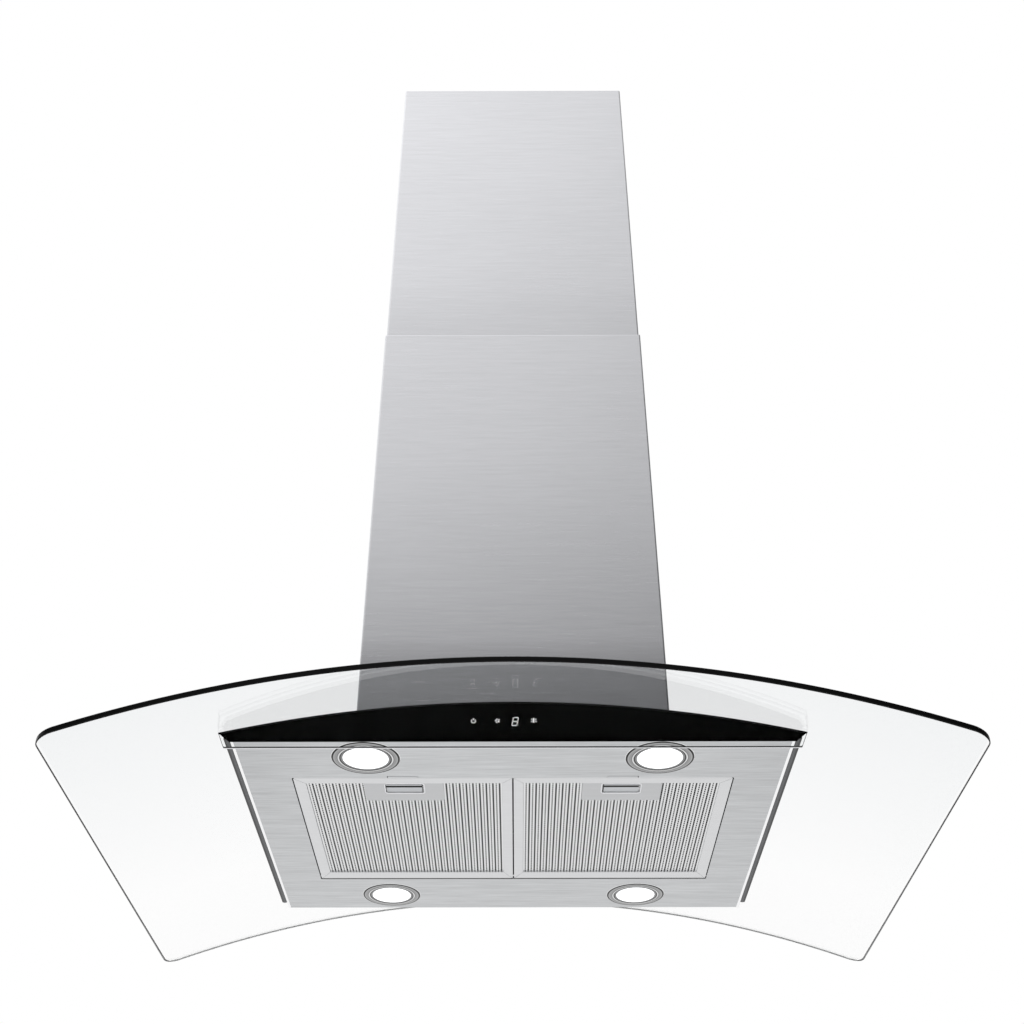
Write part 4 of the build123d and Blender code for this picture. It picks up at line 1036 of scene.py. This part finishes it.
def upright_outline(top_x, top_radius, foot_x, foot_z, corner):
    """Points (x, z) around a panel with an arched top and ends that lean in."""
    outline = arc((foot_x - corner, foot_z + corner), corner, -90, -10, 4)
    reach = int(top_x / strip)
    for x in [top_x] + [strip * i for i in range(reach, -reach - 1, -1)] + [-top_x]:
        outline.append((x, arch_centre_z + math.sqrt(top_radius**2 - x**2)))
    return outline + arc((-foot_x + corner, foot_z + corner), corner, 190, 270, 4)


panel_outline = upright_outline(
    top_half, under_radius - panel_round, foot_half, panel_low.z + panel_round, foot_corner
)
panel_mesh, _ = ground_sheet(
    "touch_glass",
    filled_plan([panel_outline]),
    panel_thickness,
    panel_round,
    lambda point, depth: (point[0], panel_low.y + depth, point[1]),
    lambda point: Vector((0.0, -1.0, 0.0)),
    lambda way: Vector((way.x, 0.0, way.y)),
    (panel_clear, panel_edge),
)
touch_glass = mounted("touch_glass", panel_mesh, "hood")
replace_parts(touch_glass, "control_glass")

foil_low, foil_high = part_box("touch_foil")
print_foot, print_corner = foil_low.z + 1.7 * MM, 0.3 * MM
print_outline = upright_outline(
    top_half - 0.5 * MM, under_radius - 0.3 * MM, foil_high.x, print_foot, print_corner
)
print_rings = [[(x, y, z) for x, z in print_outline] for y in (foil_low.y, foil_high.y)]
print_mesh = closed_mesh("print_layer", *joined_rings(print_rings), black_print)
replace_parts(mounted("print_layer", print_mesh, "hood"), "touch_foil")
print("control glass:", round((panel_high.z - panel_low.z) / MM), "mm tall in the middle")

# %% [markdown]
# ### The lamps' turned rings
#
# Each lamp is held by a turned ring. From outside to inside it has a polished bead, a thin dark
# groove, a flat satin band, a second polished bead, a second groove and the flat seat of the lens.
# All of it comes from one profile spun about the lamp's axis, and the four lamps share that mesh.
# The profile gives the relief, and painted highlights and painted shade by radius do what the small
# radii do to the light.

# %% Ring profile and finish
ring_profile = [
    (35.5, 0.0), (35.5, -0.25), (35.2, -0.45), (34.9, -0.5), (34.7, -0.35), (34.3, -0.3),
    (33.9, -0.35), (33.6, -0.55), (33.0, -0.8), (32.0, -0.85), (28.9, -0.85), (28.5, -1.1),
    (27.8, -1.3), (27.0, -1.2), (26.6, -0.95), (26.3, -0.85), (25.5, -0.9), (23.4, -0.8),
    (25.0, -0.8), (25.0, 1.7), (28.0, 1.7), (28.0, 9.0), (30.0, 9.0), (30.0, 0.0),
]
# painted highlights on the beads and painted shade in the grooves, by radius in millimetres
painted_ring_levels = [
    (24.0, 0.26), (25.3, 0.28), (25.6, 0.03), (26.7, 0.03), (27.0, 0.80), (28.2, 0.80),
    (28.6, 0.10), (29.4, 0.34), (31.2, 0.34), (32.8, 0.50), (33.1, 0.01), (34.8, 0.01),
    (35.0, 1.0),
]
ring_reach = 36.0


def painted_ring_light(tree):
    """Painted highlights and shade in rings, by the distance from the lamp's axis."""
    x, y, _ = piece_axes(tree)
    square = maths(tree, "MULTIPLY_ADD", x, x, maths(tree, "MULTIPLY", y, y))
    share = maths(tree, "MULTIPLY", maths(tree, "SQRT", square), 1.0 / (ring_reach * MM))
    return graded(tree, share, [(radius / ring_reach, level) for radius, level in painted_ring_levels])


ring_metal = brushed_finish(
    "ring_metal", (0.93, 0.935, 0.94), (700.0, 700.0, 700.0), 0.16, 0.04, 0.06, painted_ring_light
)
ring_steps = 96
ring_form = turned([(r * MM, z * MM) for r, z in ring_profile], ring_steps)
ring_mesh = closed_mesh("lamp_ring", *ring_form, ring_metal, 20)
for corner in lamp_corners:
    low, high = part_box(f"lamp_bezel_{corner}")
    place = ((low.x + high.x) / 2, (low.y + high.y) / 2, plate_z)
    ring = mounted(f"lamp_ring_{corner}", ring_mesh, "hood", place)
    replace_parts(ring, f"lamp_bezel_{corner}")
print("last ring at", [round(value, 4) for value in place], "m")

# %% [markdown]
# ## The filters' woven face
#
# A grease filter is a pack of expanded aluminium behind a face of rolled ribs. The ribs run from
# the front bar to the rear bar. Short bridges tie each rib to its neighbours, and between the
# bridges are slots, half a step apart in neighbouring rows. The bridges lie deep in every second
# row and almost level with the ribs in the others, so a dark line and a dotted line take turns. At
# this size the ribs catch the light one by one, so they are real geometry. A bump texture would be
# far cheaper, but it has no holes, and the dark holes are what the eye sees.
#
# The face is laid out like knitting on squared paper. Lines across and along make small cells, each
# cell is metal or hole, and each line across knows whether it lies on a rib's crest or down beside
# it. The helper then makes the two sides of every metal cell and a wall wherever metal meets hole.

# %% Sizes of the face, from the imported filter
pack_low, pack_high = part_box("filter_mesh_right")
latch_low, latch_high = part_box("filter_latch_right")
filter_middle = Vector(((pack_low.x + pack_high.x) / 2, 0.0, 0.0))
left_x, right_x = pack_low.x - filter_middle.x, pack_high.x - filter_middle.x
rib_width = 2.2 * MM
rib_bevel = 0.3 * MM
bridge_depths = (0.12 * MM, 0.4 * MM)
face_thickness = 0.35 * MM
bridge_length = 1.9 * MM
columns = 58
rows = 47
column_pitch = (pack_high.x - pack_low.x - rib_width) / columns
row_pitch = (pack_high.y - pack_low.y) / rows
pocket_half = (latch_high.x - latch_low.x) / 2 + 0.3 * MM
pocket_end = pack_low.y + 39.5 * MM
print("slots:", columns * rows, "in each face, one every", round(column_pitch / MM, 2), "mm")


# %% Helper: a face of ribs and bridges
def ribbed_face(name, material):
    """One rolled sheet centred on the Z axis, its crests at the bottom, with a latch pocket."""
    across = []
    for column in range(columns + 1):
        x = left_x + column * column_pitch
        before, after = bridge_depths[(column - 1) % 2], bridge_depths[column % 2]
        across += [(x, before), (x + rib_bevel, 0.0)]
        across += [(x + rib_width - rib_bevel, 0.0), (x + rib_width, after)]
    along = []
    for row in range(rows):
        y = pack_low.y + row * row_pitch
        along += [y, y + bridge_length, y + row_pitch / 2, y + row_pitch / 2 + bridge_length]
    along.append(pack_high.y)

    def is_metal(i, j):
        """Whether a cell is rib or bridge, and outside the latch pocket."""
        if not (0 <= i < len(across) - 1 and 0 <= j < len(along) - 1):
            return False
        middle_x = (across[i][0] + across[i + 1][0]) / 2
        if abs(middle_x) < pocket_half and along[j] < pocket_end:
            return False
        gap, bridge = i % 4 == 3, 2 * (i // 4 % 2)
        return not gap or j % 4 == bridge

    corners, vertices, faces = {}, [], []

    def corner(i, j, top):
        """The number of the corner where line i meets line j, made at its first use."""
        key = (i, j, top)
        if key not in corners:
            corners[key] = len(vertices)
            x, z = across[i]
            vertices.append((x, along[j], z + face_thickness * top))
        return corners[key]

    for i in range(len(across) - 1):
        for j in range(len(along) - 1):
            if not is_metal(i, j):
                continue
            square = ((i, j), (i + 1, j), (i + 1, j + 1), (i, j + 1))
            faces.append(tuple(corner(*at, 1) for at in square))
            faces.append(tuple(corner(*at, 0) for at in reversed(square)))
            beside = ((i, j - 1), (i + 1, j), (i, j + 1), (i - 1, j))
            for side, neighbour in enumerate(beside):
                if not is_metal(*neighbour):
                    a, b = square[side], square[(side + 1) % 4]
                    faces.append((corner(*a, 0), corner(*b, 0), corner(*b, 1), corner(*a, 1)))
    mesh = bpy.data.meshes.new(name)
    mesh.from_pydata(vertices, [], faces)
    mesh.materials.append(material)
    return mesh


# %% [markdown]
# The finish fades from bright on the ribs' crests to dark down at the bridges between them, a painted
# shade over the height of a rib. The face is used twice on each filter: as it is below the pack, and
# turned over above it. Behind it lies the pack itself, more layers of the same sheet pressed
# together, with little light between them. It is a slab with a notch for the latch, painted dark for
# that shade, and its finish carries what can be guessed through the slots.


# %% Rib and pack finishes
def painted_bridge_shade(tree):
    """Painted shade: bright on the crests, dark down at the bridges."""
    z = piece_axes(tree)[2]
    return step_between(tree, z, 0.03 * MM, bridge_depths[1] - 0.05 * MM, 0.93, 0.18)


rib_metal = brushed_finish(
    "rib_metal", (0.90, 0.905, 0.91), (500.0, 60.0, 500.0), 0.30, 0.06, shade=painted_bridge_shade
)
pack_metal, tree, shader = new_finish("pack_metal", {"Metallic": 0.7, "Roughness": 0.45})
squeezed = stretched(tree, (1.0 / column_pitch, 1.6 / row_pitch, 400.0))
layers = noise(tree, squeezed, 1.0, detail=3.0)
# painted shade: the pack is coloured near black for the little light between its layers
deep = step_between(tree, layers, 0.40, 0.62, 0.0, 1.0)
colour = blended(tree, deep, rgb(0.01, 0.0105, 0.011), rgb(0.10, 0.102, 0.105))
tree.links.new(colour, shader.inputs["Base Color"])
print("rib and pack:", rib_metal.name, pack_metal.name)

# %% Build both filters' packs and faces
face_mesh = ribbed_face("ribbed_face", rib_metal)
slab_gap = 0.6 * MM
slab_low = pack_low.z + bridge_depths[1] + face_thickness + slab_gap
slab_high = pack_high.z - (slab_low - pack_low.z)
notch = [(left_x, pack_low.y), (-pocket_half, pack_low.y), (-pocket_half, pocket_end)]
notch += [(pocket_half, pocket_end), (pocket_half, pack_low.y), (right_x, pack_low.y)]
notch += [(right_x, pack_high.y), (left_x, pack_high.y)]
slab = joined_rings([[(x, y, z) for x, y in notch] for z in (slab_low, slab_high)])
slab_mesh = closed_mesh("filter_pack", *slab, pack_metal)

for side, sign in (("left", -1), ("right", 1)):
    body, middle = f"filter_{side}", filter_middle * sign
    below, above = (middle + Vector((0.0, 0.0, z)) for z in (pack_low.z, pack_high.z))
    turned_over = (0.0, math.pi, 0.0)
    pack = mounted(f"filter_pack_{side}", slab_mesh, body, middle)
    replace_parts(pack, f"filter_mesh_{side}")
    mounted(f"filter_face_{side}", face_mesh, body, below)
    mounted(f"filter_back_{side}", face_mesh, body, above, turned_over)
print("faces in one ribbed face:", len(face_mesh.polygons))

# %% [markdown]
# ### The filters' front lips and slot rims
#
# Three small parts finish each filter. A lip along the front closes the gap to the bottom panel
# with a bright line. A cover of panel steel fills the notch where the latch's tongue rests. And the
# slot of the handle plate has a rolled rim, so that no finger meets a cut edge. The rim is satin
# rather than polished, which keeps it bright all the way round.

# %% Front lips and notch covers
strip_height, strip_corner = 1.2 * MM, 0.2 * MM


def flat_strip(name, low, high, material, edge_round):
    """A strip with rounded edges, its underside level with the bottom panel."""
    flat_low = (low[0] + edge_round, low[1] + edge_round)
    flat_high = (high[0] - edge_round, high[1] - edge_round)
    return ground_sheet(
        name,
        filled_plan([rounded_rectangle(flat_low, flat_high, strip_corner, 3)]),
        strip_height,
        edge_round,
        lambda point, depth: (point[0], point[1], plate_z + strip_height - depth),
        lambda point: Vector((0.0, 0.0, 1.0)),
        level_way,
        (material,),
    )[0]


frame_low, frame_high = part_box("filter_frame_right")
lip_half = (frame_high.x - frame_low.x) / 2
opening_front = frame_low.y - 1.3 * MM
lip_rear = frame_low.y - 0.05 * MM
notch_half = 15.95 * MM
notch_front, notch_rear = frame_low.y - 4.45 * MM, opening_front - 0.02 * MM
lip_mesh = flat_strip(
    "filter_lip", (-lip_half, opening_front), (lip_half, lip_rear), filter_frame_metal, 0.25 * MM
)
notch_mesh = flat_strip(
    "notch_cover", (-notch_half, notch_front), (notch_half, notch_rear), panel_steel, 0.1 * MM
)

# %% Slot rims
slot_half = 20.9 * MM
slot_low, slot_high = -128.4 * MM, -105.1 * MM
rim_radius = 0.55 * MM
rim_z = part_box("filter_handle_right")[0].z + 0.1 * MM
rim_metal = brushed_finish(
    "rim_metal", (0.97, 0.97, 0.98), (500.0, 500.0, 500.0), 0.55, 0.03, metallic=0.2
)
rim_outline = rounded_rectangle((-slot_half, slot_low), (slot_half, slot_high), 3.6 * MM, 6)
rim_rings = []
for i, point in enumerate(rim_outline):
    run = Vector(rim_outline[(i + 1) % len(rim_outline)]) - Vector(rim_outline[i - 1])
    way = Vector((run.y, -run.x)).normalized()
    section = arc((0.0, 0.0), rim_radius, 0, 315, 7)
    rim_rings.append(
        [(point[0] + way.x * out, point[1] + way.y * out, rim_z + rise) for out, rise in section]
    )
rim_mesh = closed_mesh("slot_rim", *joined_rings(rim_rings, closed=True), rim_metal, 60)
for side, sign in (("left", -1), ("right", 1)):
    middle = filter_middle * sign
    mounted(f"filter_lip_{side}", lip_mesh, f"filter_{side}", middle)
    mounted(f"notch_cover_{side}", notch_mesh, f"filter_{side}", middle)
    mounted(f"slot_rim_{side}", rim_mesh, f"filter_{side}", middle)
print("slot:", round(2 * slot_half / MM), "by", round((slot_high - slot_low) / MM, 1), "mm")

# %% [markdown]
# ## Touch symbols
#
# Behind the glass four symbols are lit: a power sign, a fan, a digit and a lamp. They are thin
# shapes between the glass and the print, drawn as strokes. A stroke is a line of points with a
# width, and the helper turns it into a flat ribbon in the panel's upright plane. A spoke is a
# short stroke that points away from the middle of its symbol.

# %% Strokes in the panel's plane
symbol_front, symbol_back = foil_low.y - 0.06 * MM, foil_low.y - 0.01 * MM
symbol_z = crown_z - 27.1 * MM

lit_symbol, tree, shader = new_finish(
    "lit_symbol", {"Base Color": rgb(0.8, 0.8, 0.8), "Roughness": 0.4, "Emission Strength": 1.5}
)
even = noise(tree, piece_place(tree), 900.0)
level = blended(tree, even, rgb(0.80, 0.82, 0.84), rgb(1.0, 1.0, 1.0))
tree.links.new(level, shader.inputs["Emission Color"])


def stroke(points, width, closed=False):
    """Corners and faces of a ribbon of that width along points (x, z)."""
    count = len(points)
    rings = []
    for i, point in enumerate(points):
        before = points[i - 1] if closed or i else point
        after = points[(i + 1) % count] if closed or i < count - 1 else point
        run = (Vector(after) - Vector(before)).normalized()
        across = Vector((-run.y, run.x)) * width / 2
        left, right = Vector(point) + across, Vector(point) - across
        front = [(side.x, symbol_front, side.y) for side in (left, right)]
        rings.append(front + [(side.x, symbol_back, side.y) for side in (right, left)])
    return joined_rings(rings, closed)


def spoke(middle, turn, inner, outer, width, twist=0):
    """A stroke between two distances from a middle, the far end turned further by a twist."""
    root = arc(middle, inner * MM, turn, turn, 1)[0]
    tip = arc(middle, outer * MM, turn + twist, turn + twist, 1)[0]
    return stroke([root, tip], width * MM)


def symbol(name, strokes):
    """One lit symbol from its strokes."""
    vertices, faces = [], []
    for corners, sides in strokes:
        faces += [tuple(len(vertices) + i for i in side) for side in sides]
        vertices += corners
    mesh = closed_mesh(name, vertices, faces, lit_symbol)
    mounted(name, mesh, "hood")


# %% Power sign and fan sign
middle = (-39.4 * MM, symbol_z - 0.3 * MM)
ring_stroke = stroke(arc(middle, 2.1 * MM, 128, 412, 24), 0.3 * MM)
symbol("symbol_power", [ring_stroke, spoke(middle, 90, 1.2, 3.2, 0.4)])

middle = (-15.3 * MM, symbol_z)
symbol("symbol_fan", [spoke(middle, 72 * i + 18, 0.9, 2.6, 0.44, twist=22) for i in range(5)])
print("symbols at", round(symbol_z, 4), "m")

# %% [markdown]
# The digit is a seven-segment one, all seven lit, and leans to the right as such displays do.

# %% Digit
middle = (2.5 * MM, symbol_z - 0.8 * MM)
half_width, half_height, lean, bar = 2.5 * MM, 2.25 * MM, 0.20, 0.34 * MM
gap = 0.35 * MM


def leaned(x, z):
    """A point of the digit, leaned to the right."""
    return (middle[0] + x + lean * z, middle[1] + z)


segments = []
for z in (-2 * half_height, 0.0, 2 * half_height):
    segments.append(stroke([leaned(-half_width + gap, z), leaned(half_width - gap, z)], bar))
for x in (-half_width, half_width):
    for z in (-half_height, half_height):
        ends = [leaned(x, z - half_height + gap), leaned(x, z + half_height - gap)]
        segments.append(stroke(ends, bar))
dot = leaned(half_width + 1.2 * MM, -2 * half_height)
segments.append(stroke([(dot[0] - bar / 2, dot[1]), (dot[0] + bar / 2, dot[1])], bar))
symbol("symbol_digit", segments)
print("digit:", len(segments), "strokes")

# %% Lamp sign
middle = (21.2 * MM, symbol_z + 0.4 * MM)
beams = [spoke(middle, turn, 1.3, 3.4, 0.3) for turn in (-32, 32, 148, 212)]
symbol("symbol_lamp", [spoke(middle, 90, -2.8, 2.8, 0.5)] + beams)
print("lamp sign:", len(beams), "beams and a stem")

# %% [markdown]
# ## The panel's bright hems
#
# Between the dark rails and the bottom panel the picture shows a bright line: the folded hem of the
# panel, polished by its forming roll. It fills the gap beside the rail, and its foot folds a little
# way under the panel, with both lower edges rounded.

# %% Hems
hem_fold, hem_gap = 1.7 * MM, 1.45 * MM
hem_foot = 0.5 * MM
hem_height = 2.4 * MM
hem_clearance = 0.03 * MM
foot_radius = 0.4 * MM
end_gap = 0.3 * MM
hem_metal = brushed_finish("hem_metal", (0.99, 0.99, 1.0), (900.0, 20.0, 900.0), 0.10, 0.02)

bend_z = plate_z - hem_foot + foot_radius
hem_profile = arc((-hem_fold + foot_radius, bend_z), foot_radius, 180, 270, 4)
hem_profile += arc((hem_gap - foot_radius, bend_z), foot_radius, 270, 360, 4)
hem_profile += [(hem_gap, plate_z + hem_height), (hem_clearance, plate_z + hem_height)]
hem_profile += [(hem_clearance, plate_z - hem_clearance), (-hem_fold, plate_z - hem_clearance)]
ends = (pan_low.y + end_gap, pan_high.y - end_gap)
for side, sign in (("left", -1), ("right", 1)):
    hem = joined_rings([[(sign * (pan_high.x + x), y, z) for x, z in hem_profile] for y in ends])
    hem_mesh = closed_mesh(f"panel_hem_{side}", *hem, hem_metal, 40)
    mounted(f"panel_hem_{side}", hem_mesh, "hood")
print("hems:", round(pan_high.y - pan_low.y, 3), "m long")
